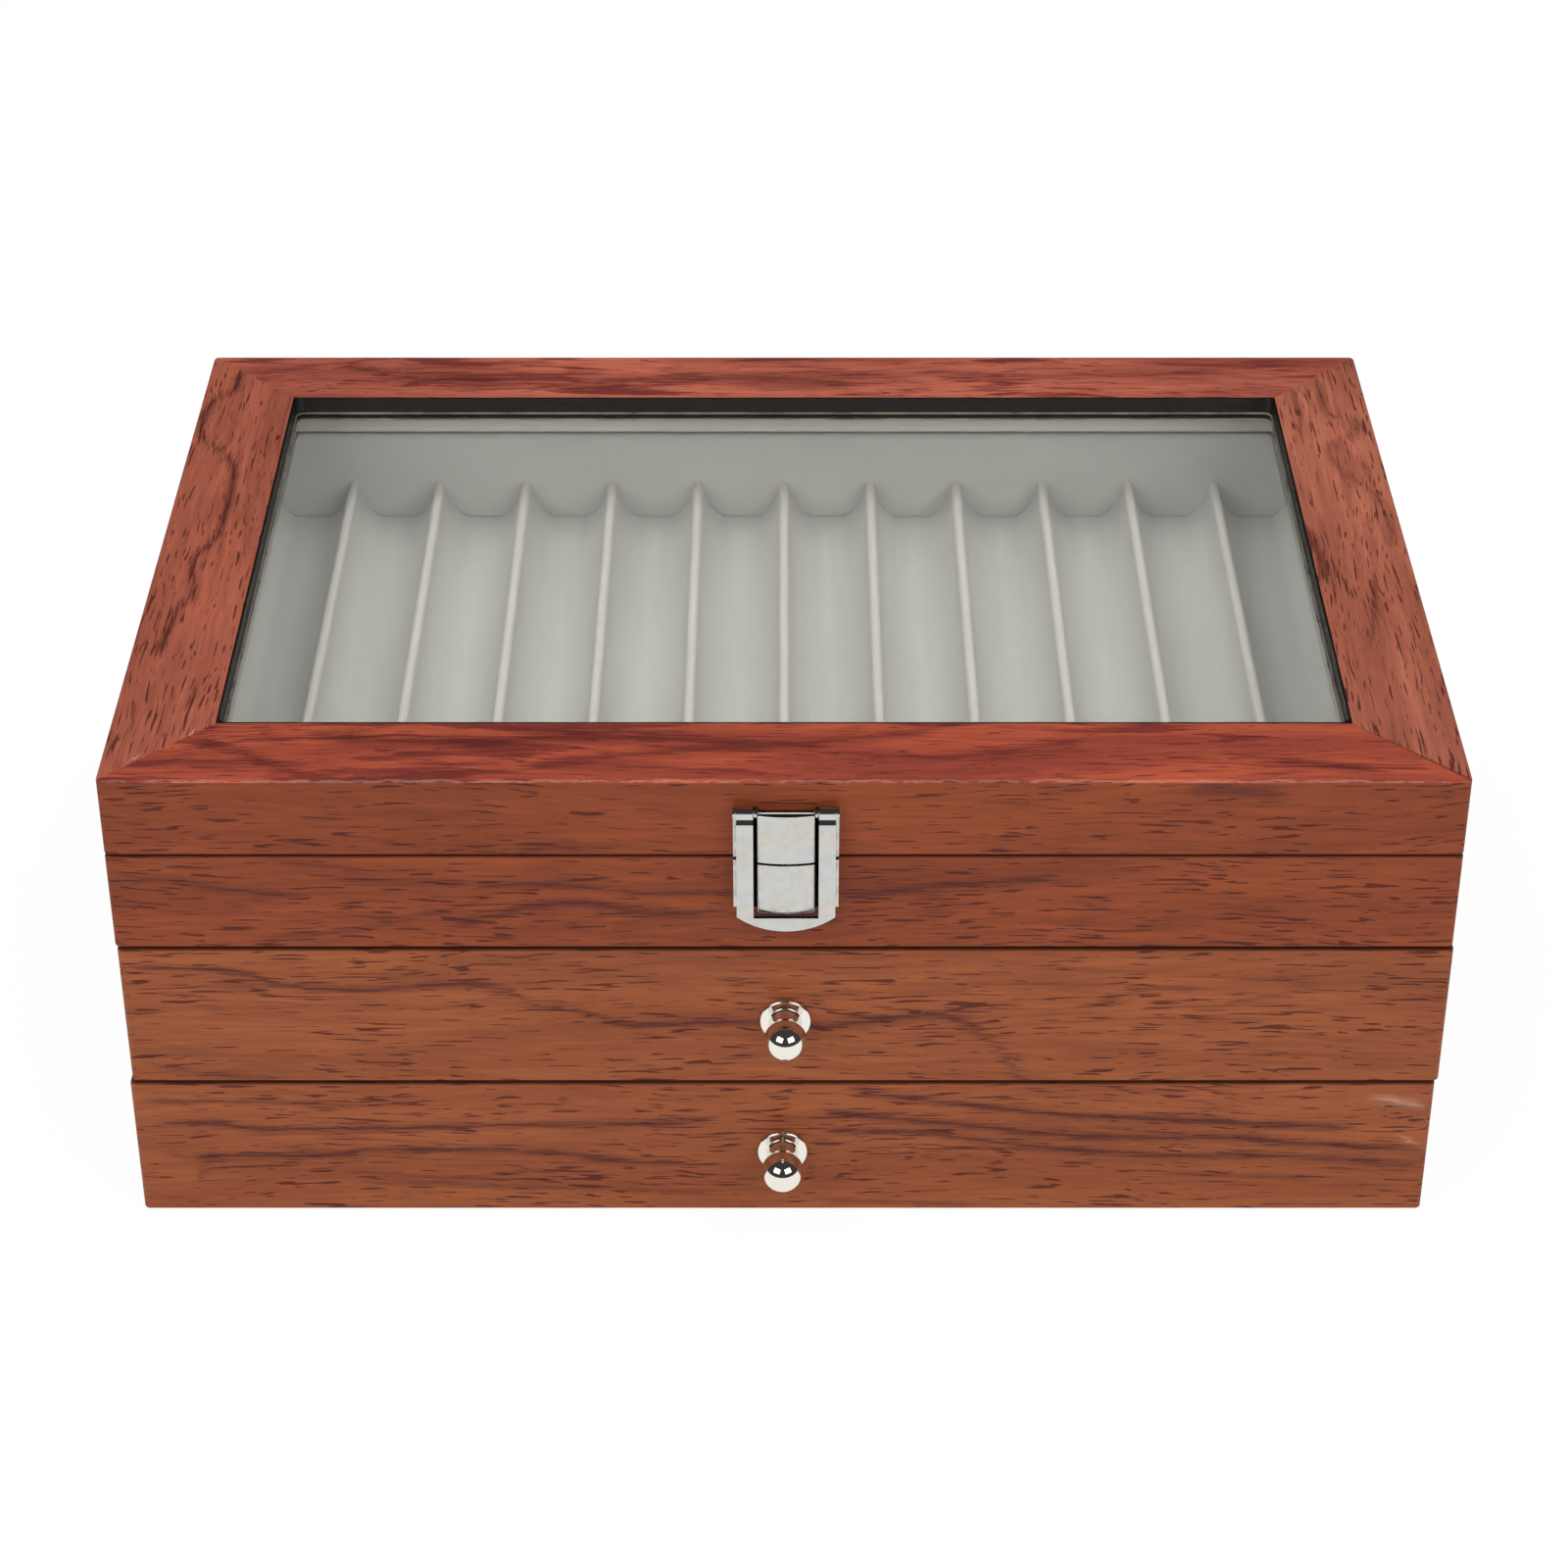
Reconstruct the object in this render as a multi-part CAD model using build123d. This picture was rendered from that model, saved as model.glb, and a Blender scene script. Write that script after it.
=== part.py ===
from build123d import *
import math
import os

# Pen collector chest: a case with a glazed lid over a tray of pen slots, and two drawers below it.
# Millimetres. The origin is on the table under the middle of the case, +X is right, +Y is back,
# +Z is up, and the front faces -Y.

# ---------- driving sizes ----------
# case
case_width = 340.0
case_depth = 232.0
panel_thickness = 10.0
deck_thickness = 4.0
felt_thickness = 0.8
felt_inset = 3.0
drawer_front_height = 42.0
front_thickness = 9.7
front_gap = 0.3
reveal = 0.8
band_height = 27.9
tray_deck_drop = 2.4
corner_radius = 1.5
arris_radius = 0.6

# velvet-covered boards and trays
lining_thickness = 5.2
lining_rise = 3.1
lining_gap = 0.4
tray_board_thickness = 2.0
top_slot_count = 12
drawer_slot_count = 11
ridge_height = 12.0
ridge_top_width = 2.8
trough_width = 10.0
flank_hollow = 1.7

# lid
lid_gap = 0.4
lid_height = 22.3
lid_wall_thickness = 9.7
border_width = 27.0
veneer_thickness = 0.8
trim_height = 5.0
trim_thickness = 0.6
trim_corner_radius = 2.5
glass_thickness = 2.0
glass_rebate = 5.0
glass_play = 0.3
glass_lip_thickness = 1.2
mitre_opening = 0.7
worn_end_drop = 0.45
worn_end_length = 30.0

# drawers
drawer_side_play = 0.8
drawer_run_gap = 0.3
drawer_head_gap = 1.5
drawer_back_play = 2.0
drawer_side_thickness = 9.0
drawer_bottom_thickness = 3.0
drawer_lining_drop = 1.0
lower_drawer_shift = -0.4
upper_drawer_shift = 0.35

# drawer knobs
knob_drop = 1.0
flange_radius = 6.6
flange_thickness = 1.2
neck_radius = 4.15
neck_waist_radius = 3.45
neck_hollow = 0.2
ball_radius = 5.45
ball_stand_off = 8.8
knob_screw_radius = 2.0
knob_screw_reach = 5.0
knob_screw_end_gap = 1.0
knob_screw_head_radius = 3.5
knob_screw_head_height = 2.2
thread_clearance = 0.05
counterbore_clearance = 0.4

# back hinges
hinge_spacing = 220.0
hinge_width = 30.0
hinge_knuckle_count = 3
hinge_knuckle_gap = 0.2
hinge_leaf_thickness = 1.0
hinge_leaf_height = 13.0
hinge_leaf_clearance = 0.3
hinge_barrel_radius = 2.0
hinge_barrel_gap = 0.2
hinge_pin_radius = 0.9
pin_clearance = 0.05
hinge_pin_overhang = 0.6
hinge_screw_spacing = 18.0

# small wood screws of the hinges and the latch
screw_radius = 1.0
screw_length = 7.0
screw_head_radius = 1.7
screw_head_height = 0.8
screw_clearance = 0.05

# swing latch on the front
latch_offset = 0.5
latch_width = 26.4
latch_plate_thickness = 1.0
latch_plate_height = 14.3
latch_plate_gap = 0.5
boss_width = 14.3
lid_boss_height = 14.0
base_boss_height = 14.5
boss_stand_off = 4.4
boss_crown = 0.8
boss_edge_gap = 0.3
boss_edge_radius = 0.35
latch_pivot_rise = 14.7
latch_pivot_gap = 0.25
latch_pin_radius = 0.65
ear_radius = 1.35
ear_thickness = 0.7
ear_gap = 0.2
curl_radius = 1.35
hasp_width = 24.7
hasp_leg_width = 4.2
hasp_thickness = 1.0
hasp_joggle = 0.95
hasp_clearance = 0.3
hasp_window_bottom_gap = 0.4
hasp_lip_height = 3.9
hasp_lip_sagitta = 4.3
latch_screw_inset = 3.3

# for cutting and for picking edges
past_cut = 1.0
match_tolerance = 0.01

# ---------- levels and planes that follow ----------
z_case = felt_thickness
z_floor_top = z_case + deck_thickness
z_upper_front = z_case + drawer_front_height + reveal
z_shelf_top = z_upper_front + deck_thickness
z_band = z_upper_front + drawer_front_height + reveal
z_deck = z_band - tray_deck_drop
z_deck_top = z_deck + deck_thickness
z_rim = z_band + band_height
z_parting = z_rim + lid_gap / 2
z_lid = z_rim + lid_gap
z_lid_top = z_lid + lid_height
z_veneer = z_lid_top - veneer_thickness
z_glass_top = z_lid_top - trim_height
z_glass = z_glass_top - glass_thickness
z_rail = z_glass - glass_lip_thickness
z_lining_top = z_rim + lining_rise

x_case = case_width / 2
x_inner = x_case - panel_thickness
x_lining = x_inner - lining_thickness
y_front = -case_depth / 2
y_back = case_depth / 2
y_carcass = y_front + front_thickness + front_gap
y_front_back = y_front + front_thickness
y_inner_back = y_back - panel_thickness

y_hinge = y_back + hinge_barrel_radius + hinge_barrel_gap
y_latch_plate = y_front - latch_plate_thickness
y_latch_pin = y_latch_plate - latch_pivot_gap - curl_radius
z_latch_pin = z_parting + latch_pivot_rise
z_base_boss_top = z_parting - boss_edge_gap
z_base_boss = z_base_boss_top - base_boss_height
z_lid_boss = z_parting + boss_edge_gap
z_hasp_window = z_base_boss - hasp_window_bottom_gap

drawer_box_height = z_deck - z_shelf_top - drawer_run_gap - drawer_head_gap


# ---------- helpers ----------
def block(x0, x1, y0, y1, z0, z1):
    """A box between two corners."""
    centre = Pos((x0 + x1) / 2, (y0 + y1) / 2, (z0 + z1) / 2)
    return centre * Box(x1 - x0, y1 - y0, z1 - z0)


def rod(x, y, z, radius, length, along):
    """A round bar that starts at a point and runs along a direction."""
    return extrude(Plane((x, y, z), z_dir=along) * Circle(radius), length)


def prism(points, z0, z1):
    """A flat outline in plan, raised between two levels."""
    outline = make_face(Polyline(*points, close=True))
    return Pos(0, 0, z0) * extrude(outline, z1 - z0, dir=(0, 0, 1))


def round_upright(shape, points):
    """Round the upright edges of a shape that stand at the given plan points."""
    picked = [
        edge
        for edge in shape.edges().filter_by(Axis.Z)
        for x, y in points
        if math.hypot(edge.center().X - x, edge.center().Y - y) < match_tolerance
    ]
    return fillet(picked, corner_radius)


def round_arris(shape, along, place, levels):
    """Soften the edges of a shape along X or Y, at one place across them and at the given levels."""
    picked = [
        edge
        for edge in shape.edges().filter_by(along)
        for z in levels
        if abs((edge.center().Y if along == Axis.X else edge.center().X) - place) < match_tolerance
        and abs(edge.center().Z - z) < match_tolerance
    ]
    return fillet(picked, arris_radius)


def write(name, *solids):
    """Write one node, as one solid or as a group of separate solids."""
    shape = solids[0] if len(solids) == 1 else Compound(children=list(solids))
    export_step(shape, f"parts/{name}.step")


def front_corners():
    """Plan points of the two front corners of the case."""
    return [(-x_case, y_front), (x_case, y_front)]


def back_corners():
    """Plan points of the two back corners of the case."""
    return [(-x_case, y_back), (x_case, y_back)]


# ---------- wood screws ----------
def screw(x, y, z, direction):
    """A pan-head wood screw; its head stands on the plane y and its shank runs along direction."""
    head_start = y - direction * screw_head_height
    head = rod(x, head_start, z, screw_head_radius, screw_head_height, (0, direction, 0))
    shank = rod(x, y, z, screw_radius, screw_length, (0, direction, 0))
    return head + shank


def screw_hole(x, y, z, direction):
    """The hole that a wood screw's shank runs in."""
    length = screw_length + screw_clearance
    return rod(x, y, z, screw_radius + screw_clearance, length, (0, direction, 0))


def latch_screw_points(z):
    """Plan the two screws of a latch plate, at its left and right."""
    reach = latch_width / 2 - latch_screw_inset
    return [(latch_offset - reach, z), (latch_offset + reach, z)]


def hinge_screw_points(z):
    """The four screws of the two hinge leaves at one level."""
    return [
        (side * hinge_spacing / 2 + end * hinge_screw_spacing / 2, z)
        for side in (-1, 1)
        for end in (-1, 1)
    ]


z_base_plate = z_parting - latch_plate_gap - latch_plate_height
z_lid_plate = z_parting + latch_plate_gap
z_base_screw = z_base_plate + latch_plate_height / 2
z_lid_screw = z_lid_plate + latch_plate_height / 2
z_leaf_edge = hinge_barrel_radius + hinge_leaf_clearance
z_base_leaf_screw = z_parting - z_leaf_edge - hinge_leaf_height / 2
z_lid_leaf_screw = z_parting + z_leaf_edge + hinge_leaf_height / 2


def drill(shape, points, y, direction):
    """Cut the holes for wood screws that enter a shape at the plane y."""
    for x, z in points:
        shape -= screw_hole(x, y, z, direction)
    return shape


# ---------- pen trays ----------
def ridge_half_base(pitch):
    """Half the width of a ridge at its foot."""
    return (pitch - trough_width) / 2


def flank(half_base, side):
    """The hollow side of a ridge, from its foot to its shoulder, in (x, z)."""
    shoulder = (side * ridge_top_width / 2, ridge_height - ridge_top_width / 2)
    foot = (side * half_base, 0.0)
    dx = shoulder[0] - foot[0]
    dz = shoulder[1] - foot[1]
    length = math.hypot(dx, dz)
    middle_x = (shoulder[0] + foot[0]) / 2 - side * flank_hollow * dz / length
    middle_z = (shoulder[1] + foot[1]) / 2 - flank_hollow * abs(dx) / length
    return foot, (middle_x, middle_z), shoulder


def full_ridge_outline(half_base):
    """The cross-section of a ridge between two slots."""
    foot_r, middle_r, shoulder_r = flank(half_base, 1)
    foot_l, middle_l, shoulder_l = flank(half_base, -1)
    outline = Line(foot_l, foot_r)
    outline += ThreePointArc(foot_r, middle_r, shoulder_r)
    outline += ThreePointArc(shoulder_r, (0, ridge_height), shoulder_l)
    outline += ThreePointArc(shoulder_l, middle_l, foot_l)
    return outline


def half_ridge_outline(half_base, side):
    """The cross-section of the half ridge against a side lining; side points into the tray."""
    foot, middle, shoulder = flank(half_base, side)
    radius = ridge_top_width / 2
    bend = radius * math.sqrt(0.5)
    crown = (side * bend, ridge_height - radius + bend)
    outline = Line((0, 0), foot)
    outline += ThreePointArc(foot, middle, shoulder)
    outline += ThreePointArc(shoulder, crown, (0, ridge_height))
    outline += Line((0, ridge_height), (0, 0))
    return outline


def ridge_solid(outline, x, y0, y1, z):
    """A ridge's cross-section, run from the front to the back of the tray."""
    section = Plane((x, y0, z), x_dir=(1, 0, 0), z_dir=(0, -1, 0)) * make_face(outline)
    return extrude(section, y1 - y0, dir=(0, 1, 0))


def tray_ridges(x_half, y0, y1, z, slot_count):
    """All ridges of a tray: half ones at the two sides and full ones between the slots."""
    pitch = 2 * x_half / slot_count
    half_base = ridge_half_base(pitch)
    ridges = [ridge_solid(half_ridge_outline(half_base, 1), -x_half, y0, y1, z)]
    for index in range(1, slot_count):
        x = -x_half + index * pitch
        ridges.append(ridge_solid(full_ridge_outline(half_base), x, y0, y1, z))
    ridges.append(ridge_solid(half_ridge_outline(half_base, -1), x_half, y0, y1, z))
    return ridges


def lining_boards(x_outer, y0, y1, z0, z1):
    """Four velvet-covered boards inside a frame: front, back, left, right."""
    inner = x_outer - lining_thickness
    return {
        "front": block(-inner, inner, y0, y0 + lining_thickness, z0, z1),
        "back": block(-inner, inner, y1 - lining_thickness, y1, z0, z1),
        "left": block(-x_outer, -inner, y0, y1, z0, z1),
        "right": block(inner, x_outer, y0, y1, z0, z1),
    }


# ---------- case ----------
def write_case():
    felt = block(
        -x_case + felt_inset,
        x_case - felt_inset,
        y_carcass + felt_inset,
        y_back - felt_inset,
        0,
        felt_thickness,
    )
    write("underside_felt", felt)
    write("bottom_panel", block(-x_inner, x_inner, y_carcass, y_inner_back, z_case, z_floor_top))
    write("drawer_shelf", block(-x_inner, x_inner, y_carcass, y_inner_back, z_upper_front, z_shelf_top))
    write("tray_deck", block(-x_inner, x_inner, y_carcass, y_inner_back, z_deck, z_deck_top))

    for name, side in (("left", -1), ("right", 1)):
        x0, x1 = sorted((side * x_inner, side * x_case))
        panel = round_upright(block(x0, x1, y_carcass, y_back, z_case, z_rim), back_corners())
        write(f"{name}_side_panel", round_arris(panel, Axis.Y, side * x_case, (z_case, z_rim)))

    back = block(-x_inner, x_inner, y_inner_back, y_back, z_case, z_rim)
    back = round_arris(back, Axis.X, y_back, (z_case, z_rim))
    write("back_panel", drill(back, hinge_screw_points(z_base_leaf_screw), y_back, -1))

    band = block(-x_case, x_case, y_front, y_carcass, z_band, z_rim)
    band = round_arris(round_upright(band, front_corners()), Axis.X, y_front, (z_band, z_rim))
    write("upper_front_band", drill(band, latch_screw_points(z_base_screw), y_front, 1))


def write_top_compartment():
    boards = lining_boards(x_inner, y_carcass, y_inner_back, z_deck_top, z_lining_top)
    for name, board in boards.items():
        write(f"box_lining_{name}", board)
    y0 = y_carcass + lining_thickness
    y1 = y_inner_back - lining_thickness
    z_board_top = z_deck_top + tray_board_thickness
    write("upper_tray_board", block(-x_lining, x_lining, y0, y1, z_deck_top, z_board_top))
    write("upper_tray_ridges", *tray_ridges(x_lining, y0, y1, z_board_top, top_slot_count))


# ---------- lid ----------
x_lid_inner = x_case - lid_wall_thickness
y_lid_inner = y_back - lid_wall_thickness
x_opening = x_case - border_width
y_opening = y_back - border_width
x_trim = x_opening + trim_thickness
y_trim = y_opening + trim_thickness


def write_lid_walls():
    front = block(-x_case, x_case, y_front, -y_lid_inner, z_lid, z_veneer)
    front = round_arris(round_upright(front, front_corners()), Axis.X, y_front, (z_lid,))
    write("lid_front_wall", drill(front, latch_screw_points(z_lid_screw), y_front, 1))
    back = block(-x_case, x_case, y_lid_inner, y_back, z_lid, z_veneer)
    back = round_arris(round_upright(back, back_corners()), Axis.X, y_back, (z_lid,))
    write("lid_back_wall", drill(back, hinge_screw_points(z_lid_leaf_screw), y_back, -1))
    for name, side in (("left", -1), ("right", 1)):
        x0, x1 = sorted((side * x_lid_inner, side * x_case))
        wall = block(x0, x1, -y_lid_inner, y_lid_inner, z_lid, z_veneer)
        write(f"lid_{name}_wall", round_arris(wall, Axis.Y, side * x_case, (z_lid,)))


def mitred_strip(outer, inner, z0, z1):
    """A strip with mitred ends, from its two outer and its two inner plan corners."""
    return prism([outer[0], outer[1], inner[1], inner[0]], z0, z1)


def softened_top():
    """The whole top of the lid as one sheet, with round corners and a soft upper arris."""
    sheet = block(-x_case, x_case, y_front, y_back, z_veneer, z_lid_top)
    sheet = round_upright(sheet, front_corners() + back_corners())
    return round_arris(sheet, Axis.X, y_front, (z_lid_top,))


def write_lid_top():
    outer_fl = (-x_case, y_front)
    outer_fr = (x_case, y_front)
    outer_bl = (-x_case, y_back)
    outer_br = (x_case, y_back)
    inner_fl = (-x_trim, -y_trim)
    inner_fr = (x_trim, -y_trim)
    inner_bl = (-x_trim, y_trim)
    inner_br = (x_trim, y_trim)
    open_fr = (x_case, y_front + mitre_opening)

    strips = {
        "front": mitred_strip((outer_fl, outer_fr), (inner_fl, inner_fr), z_veneer, z_lid_top),
        "back": mitred_strip((outer_bl, outer_br), (inner_bl, inner_br), z_veneer, z_lid_top),
        "left": mitred_strip((outer_fl, outer_bl), (inner_fl, inner_bl), z_veneer, z_lid_top),
        "right": mitred_strip((open_fr, outer_br), (inner_fr, inner_br), z_veneer, z_lid_top),
    }
    strips["front"] -= worn_end()
    for name, strip in strips.items():
        write(f"lid_veneer_{name}", strip & softened_top())


def worn_end():
    """What wear has taken off the front veneer at its right-hand mitre: a long flat wedge."""
    angle = math.degrees(math.atan2(worn_end_drop, worn_end_length))
    above = Box(2 * worn_end_length, case_depth, border_width, align=(Align.MIN, Align.CENTER, Align.MIN))
    return Pos(x_case - worn_end_length, 0, z_lid_top) * Rot(0, angle, 0) * above


def window(x_half, y_half, corner, z0, z1):
    """The opening of the lid between two levels, with its upright corners rounded."""
    opening = block(-x_half, x_half, -y_half, y_half, z0, z1)
    return fillet(opening.edges().filter_by(Axis.Z), corner) if corner else opening


def write_lid_window():
    x_glass = x_opening + glass_rebate
    y_glass = y_opening + glass_rebate
    x_groove = x_glass + glass_play
    y_groove = y_glass + glass_play
    frame = block(-x_lid_inner, x_lid_inner, -y_lid_inner, y_lid_inner, z_rail, z_veneer)
    frame -= window(x_trim, y_trim, 0, z_glass, z_veneer)
    frame -= window(x_opening, y_opening, trim_corner_radius, z_rail, z_glass)
    frame -= window(x_groove, y_groove, 0, z_glass, z_glass_top)

    past = 2 * trim_corner_radius
    outer = [(-x_lid_inner, -y_lid_inner), (x_lid_inner, -y_lid_inner)]
    outer += [(x_lid_inner, y_lid_inner), (-x_lid_inner, y_lid_inner)]
    x_past = x_opening - past
    y_past = y_opening - past
    inner = [(-x_past, -y_past), (x_past, -y_past), (x_past, y_past), (-x_past, y_past)]
    rails = []
    for index in range(4):
        after = (index + 1) % 4
        quarter = mitred_strip((outer[index], outer[after]), (inner[index], inner[after]), z_rail, z_veneer)
        rails.append(frame & quarter)
    write("lid_frame_rails", *rails)

    trim = block(-x_trim, x_trim, -y_trim, y_trim, z_glass_top, z_lid_top)
    trim -= window(x_opening, y_opening, trim_corner_radius, z_glass_top, z_lid_top)
    write("window_edge_trim", trim)
    write("glass_pane", block(-x_glass, x_glass, -y_glass, y_glass, z_glass, z_glass_top))

    z_lid_lining = z_lining_top + lining_gap
    boards = lining_boards(x_lid_inner, -y_lid_inner, y_lid_inner, z_lid_lining, z_rail)
    for name, board in boards.items():
        write(f"lid_lining_{name}", board)


# ---------- back hinges ----------
def hinge_leaf(x_middle, up, knuckles):
    """One leaf: a plate on the back face and its knuckles round the pin."""
    edge = z_parting + up * z_leaf_edge
    far = edge + up * hinge_leaf_height
    x0 = x_middle - hinge_width / 2
    leaf = block(x0, x0 + hinge_width, y_back, y_back + hinge_leaf_thickness, min(edge, far), max(edge, far))
    pitch = hinge_width / hinge_knuckle_count
    for index in knuckles:
        k0 = x0 + index * pitch + hinge_knuckle_gap / 2
        k1 = x0 + (index + 1) * pitch - hinge_knuckle_gap / 2
        leaf += rod(k0, y_hinge, z_parting, hinge_barrel_radius, k1 - k0, (1, 0, 0))
        leaf += block(k0, k1, y_back, y_hinge, min(z_parting, edge), max(z_parting, edge))
    bore = hinge_pin_radius + pin_clearance
    leaf -= rod(x0 - past_cut, y_hinge, z_parting, bore, hinge_width + 2 * past_cut, (1, 0, 0))
    screws = z_base_leaf_screw if up < 0 else z_lid_leaf_screw
    through = hinge_leaf_thickness + 2 * past_cut
    for x, z in hinge_screw_points(screws):
        if abs(x - x_middle) < hinge_width:
            leaf -= rod(x, y_back - past_cut, z, screw_radius + screw_clearance, through, (0, 1, 0))
    return leaf


def write_hinges():
    middles = (-hinge_spacing / 2, hinge_spacing / 2)
    base_knuckles = range(0, hinge_knuckle_count, 2)
    lid_knuckles = range(1, hinge_knuckle_count, 2)
    write("hinge_base_leaves", *[hinge_leaf(x, -1, base_knuckles) for x in middles])
    write("hinge_lid_leaves", *[hinge_leaf(x, 1, lid_knuckles) for x in middles])
    pin_length = hinge_width + 2 * hinge_pin_overhang
    pins = [
        rod(x - pin_length / 2, y_hinge, z_parting, hinge_pin_radius, pin_length, (1, 0, 0))
        for x in middles
    ]
    write("hinge_pins", *pins)
    y_leaf = y_back + hinge_leaf_thickness
    for name, z in (("base", z_base_leaf_screw), ("lid", z_lid_leaf_screw)):
        write(f"hinge_{name}_screws", *[screw(x, y_leaf, z, -1) for x, z in hinge_screw_points(z)])


# ---------- swing latch ----------
def boss(z0, z1):
    """The raised block of a latch plate, with a gently crowned front."""
    half = boss_width / 2
    y_edge = y_front - boss_stand_off + boss_crown
    outline = Line((-half, y_latch_plate), (-half, y_edge))
    outline += ThreePointArc((-half, y_edge), (0, y_front - boss_stand_off), (half, y_edge))
    outline += Line((half, y_edge), (half, y_latch_plate))
    outline += Line((half, y_latch_plate), (-half, y_latch_plate))
    body = Pos(latch_offset, 0, z0) * extrude(make_face(outline), z1 - z0, dir=(0, 0, 1))
    rounded = [edge for edge in body.edges() if edge.center().Y < y_latch_plate - match_tolerance]
    return fillet(rounded, boss_edge_radius)


def latch_plate(z0, z1):
    """The flat plate of one half of the latch."""
    half = latch_width / 2
    return block(latch_offset - half, latch_offset + half, y_latch_plate, y_front, z0, z1)


def ear(x0):
    """One ear of the lid plate: it rises from the plate and bends out round the latch pin."""
    x1 = x0 + ear_thickness
    tab = rod(x0, y_latch_pin, z_latch_pin, ear_radius, ear_thickness, (1, 0, 0))
    tab += block(x0, x1, y_latch_pin, y_front, z_latch_pin - ear_radius, z_latch_pin)
    return tab


def ear_starts():
    """The left faces of the four ears: outside and inside of each hasp leg."""
    leg_outer = hasp_width / 2
    leg_inner = leg_outer - hasp_leg_width
    return [
        latch_offset - leg_outer - ear_gap - ear_thickness,
        latch_offset - leg_inner + ear_gap,
        latch_offset + leg_inner - ear_gap - ear_thickness,
        latch_offset + leg_outer + ear_gap,
    ]


def cut_latch_screw_holes(plate, z):
    """The clearance holes of a latch plate."""
    through = latch_plate_thickness + 2 * past_cut
    for x, z_hole in latch_screw_points(z):
        plate -= rod(x, y_front + past_cut, z_hole, screw_radius + screw_clearance, through, (0, -1, 0))
    return plate


def write_latch():
    base = latch_plate(z_base_plate, z_base_plate + latch_plate_height)
    base += boss(z_base_boss, z_base_boss_top)
    write("latch_base_plate", cut_latch_screw_holes(base, z_base_screw))

    z_plate_top = z_latch_pin - ear_radius
    lid = latch_plate(z_lid_plate, z_plate_top)
    lid += boss(z_lid_boss, z_lid_boss + lid_boss_height)
    for x0 in ear_starts():
        lid += ear(x0)
    bore = latch_pin_radius + pin_clearance
    lid -= rod(latch_offset - latch_width, y_latch_pin, z_latch_pin, bore, 2 * latch_width, (1, 0, 0))
    write("latch_lid_plate", cut_latch_screw_holes(lid, z_lid_screw))

    starts = ear_starts()
    pin_length = starts[1] + ear_thickness - starts[0]
    pins = [
        rod(starts[index], y_latch_pin, z_latch_pin, latch_pin_radius, pin_length, (1, 0, 0))
        for index in (0, 2)
    ]
    write("latch_pins", *pins)
    for name, z in (("base", z_base_screw), ("lid", z_lid_screw)):
        screws = [screw(x, y_latch_plate, z_row, 1) for x, z_row in latch_screw_points(z)]
        write(f"latch_{name}_screws", *screws)


def hasp_side_outline():
    """The side view of the hasp below its curl, in (y, z): a joggle and then a leaning straight."""
    y_top = y_latch_pin - curl_radius
    y_face = y_top - hasp_joggle
    z_shoulder = z_latch_pin - curl_radius
    z_face = z_shoulder - hasp_joggle
    y_bar_back = y_front - boss_stand_off - hasp_clearance
    y_bar = y_bar_back - hasp_thickness
    z_tip = z_hasp_window - hasp_lip_height
    return [
        (y_top, z_latch_pin),
        (y_top, z_shoulder),
        (y_face, z_face),
        (y_bar, z_tip),
        (y_bar_back, z_tip),
        (y_face + hasp_thickness, z_face),
        (y_top + hasp_thickness, z_shoulder),
        (y_top + hasp_thickness, z_latch_pin),
    ]


def hasp_plan_tool():
    """What is left of the hasp in front view: two legs, a bar and its rounded lip."""
    half = hasp_width / 2
    inner = half - hasp_leg_width
    z_tip = z_hasp_window - hasp_lip_height
    z_corner = z_tip + hasp_lip_sagitta
    z_top = z_latch_pin + curl_radius
    outline = Line((-half, z_top), (-half, z_corner))
    outline += ThreePointArc((-half, z_corner), (0, z_tip), (half, z_corner))
    outline += Line((half, z_corner), (half, z_top))
    outline += Line((half, z_top), (inner, z_top))
    outline += Line((inner, z_top), (inner, z_hasp_window))
    outline += Line((inner, z_hasp_window), (-inner, z_hasp_window))
    outline += Line((-inner, z_hasp_window), (-inner, z_top))
    outline += Line((-inner, z_top), (-half, z_top))
    front_view = Plane((latch_offset, 0, 0), x_dir=(1, 0, 0), z_dir=(0, -1, 0))
    return extrude(front_view * make_face(outline), case_depth, dir=(0, -1, 0))


def write_hasp():
    half = hasp_width / 2
    side_view = Plane((latch_offset - half, 0, 0), x_dir=(0, 1, 0), z_dir=(1, 0, 0))
    outline = make_face(Polyline(*hasp_side_outline(), close=True))
    sheet = extrude(side_view * outline, hasp_width, dir=(1, 0, 0))
    sheet &= hasp_plan_tool()
    inner = half - hasp_leg_width
    for x0 in (latch_offset - half, latch_offset + inner):
        sheet += rod(x0, y_latch_pin, z_latch_pin, curl_radius, hasp_leg_width, (1, 0, 0))
    bore = latch_pin_radius + pin_clearance
    sheet -= rod(latch_offset - hasp_width, y_latch_pin, z_latch_pin, bore, 2 * hasp_width, (1, 0, 0))
    write("latch_hasp", sheet)


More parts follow.
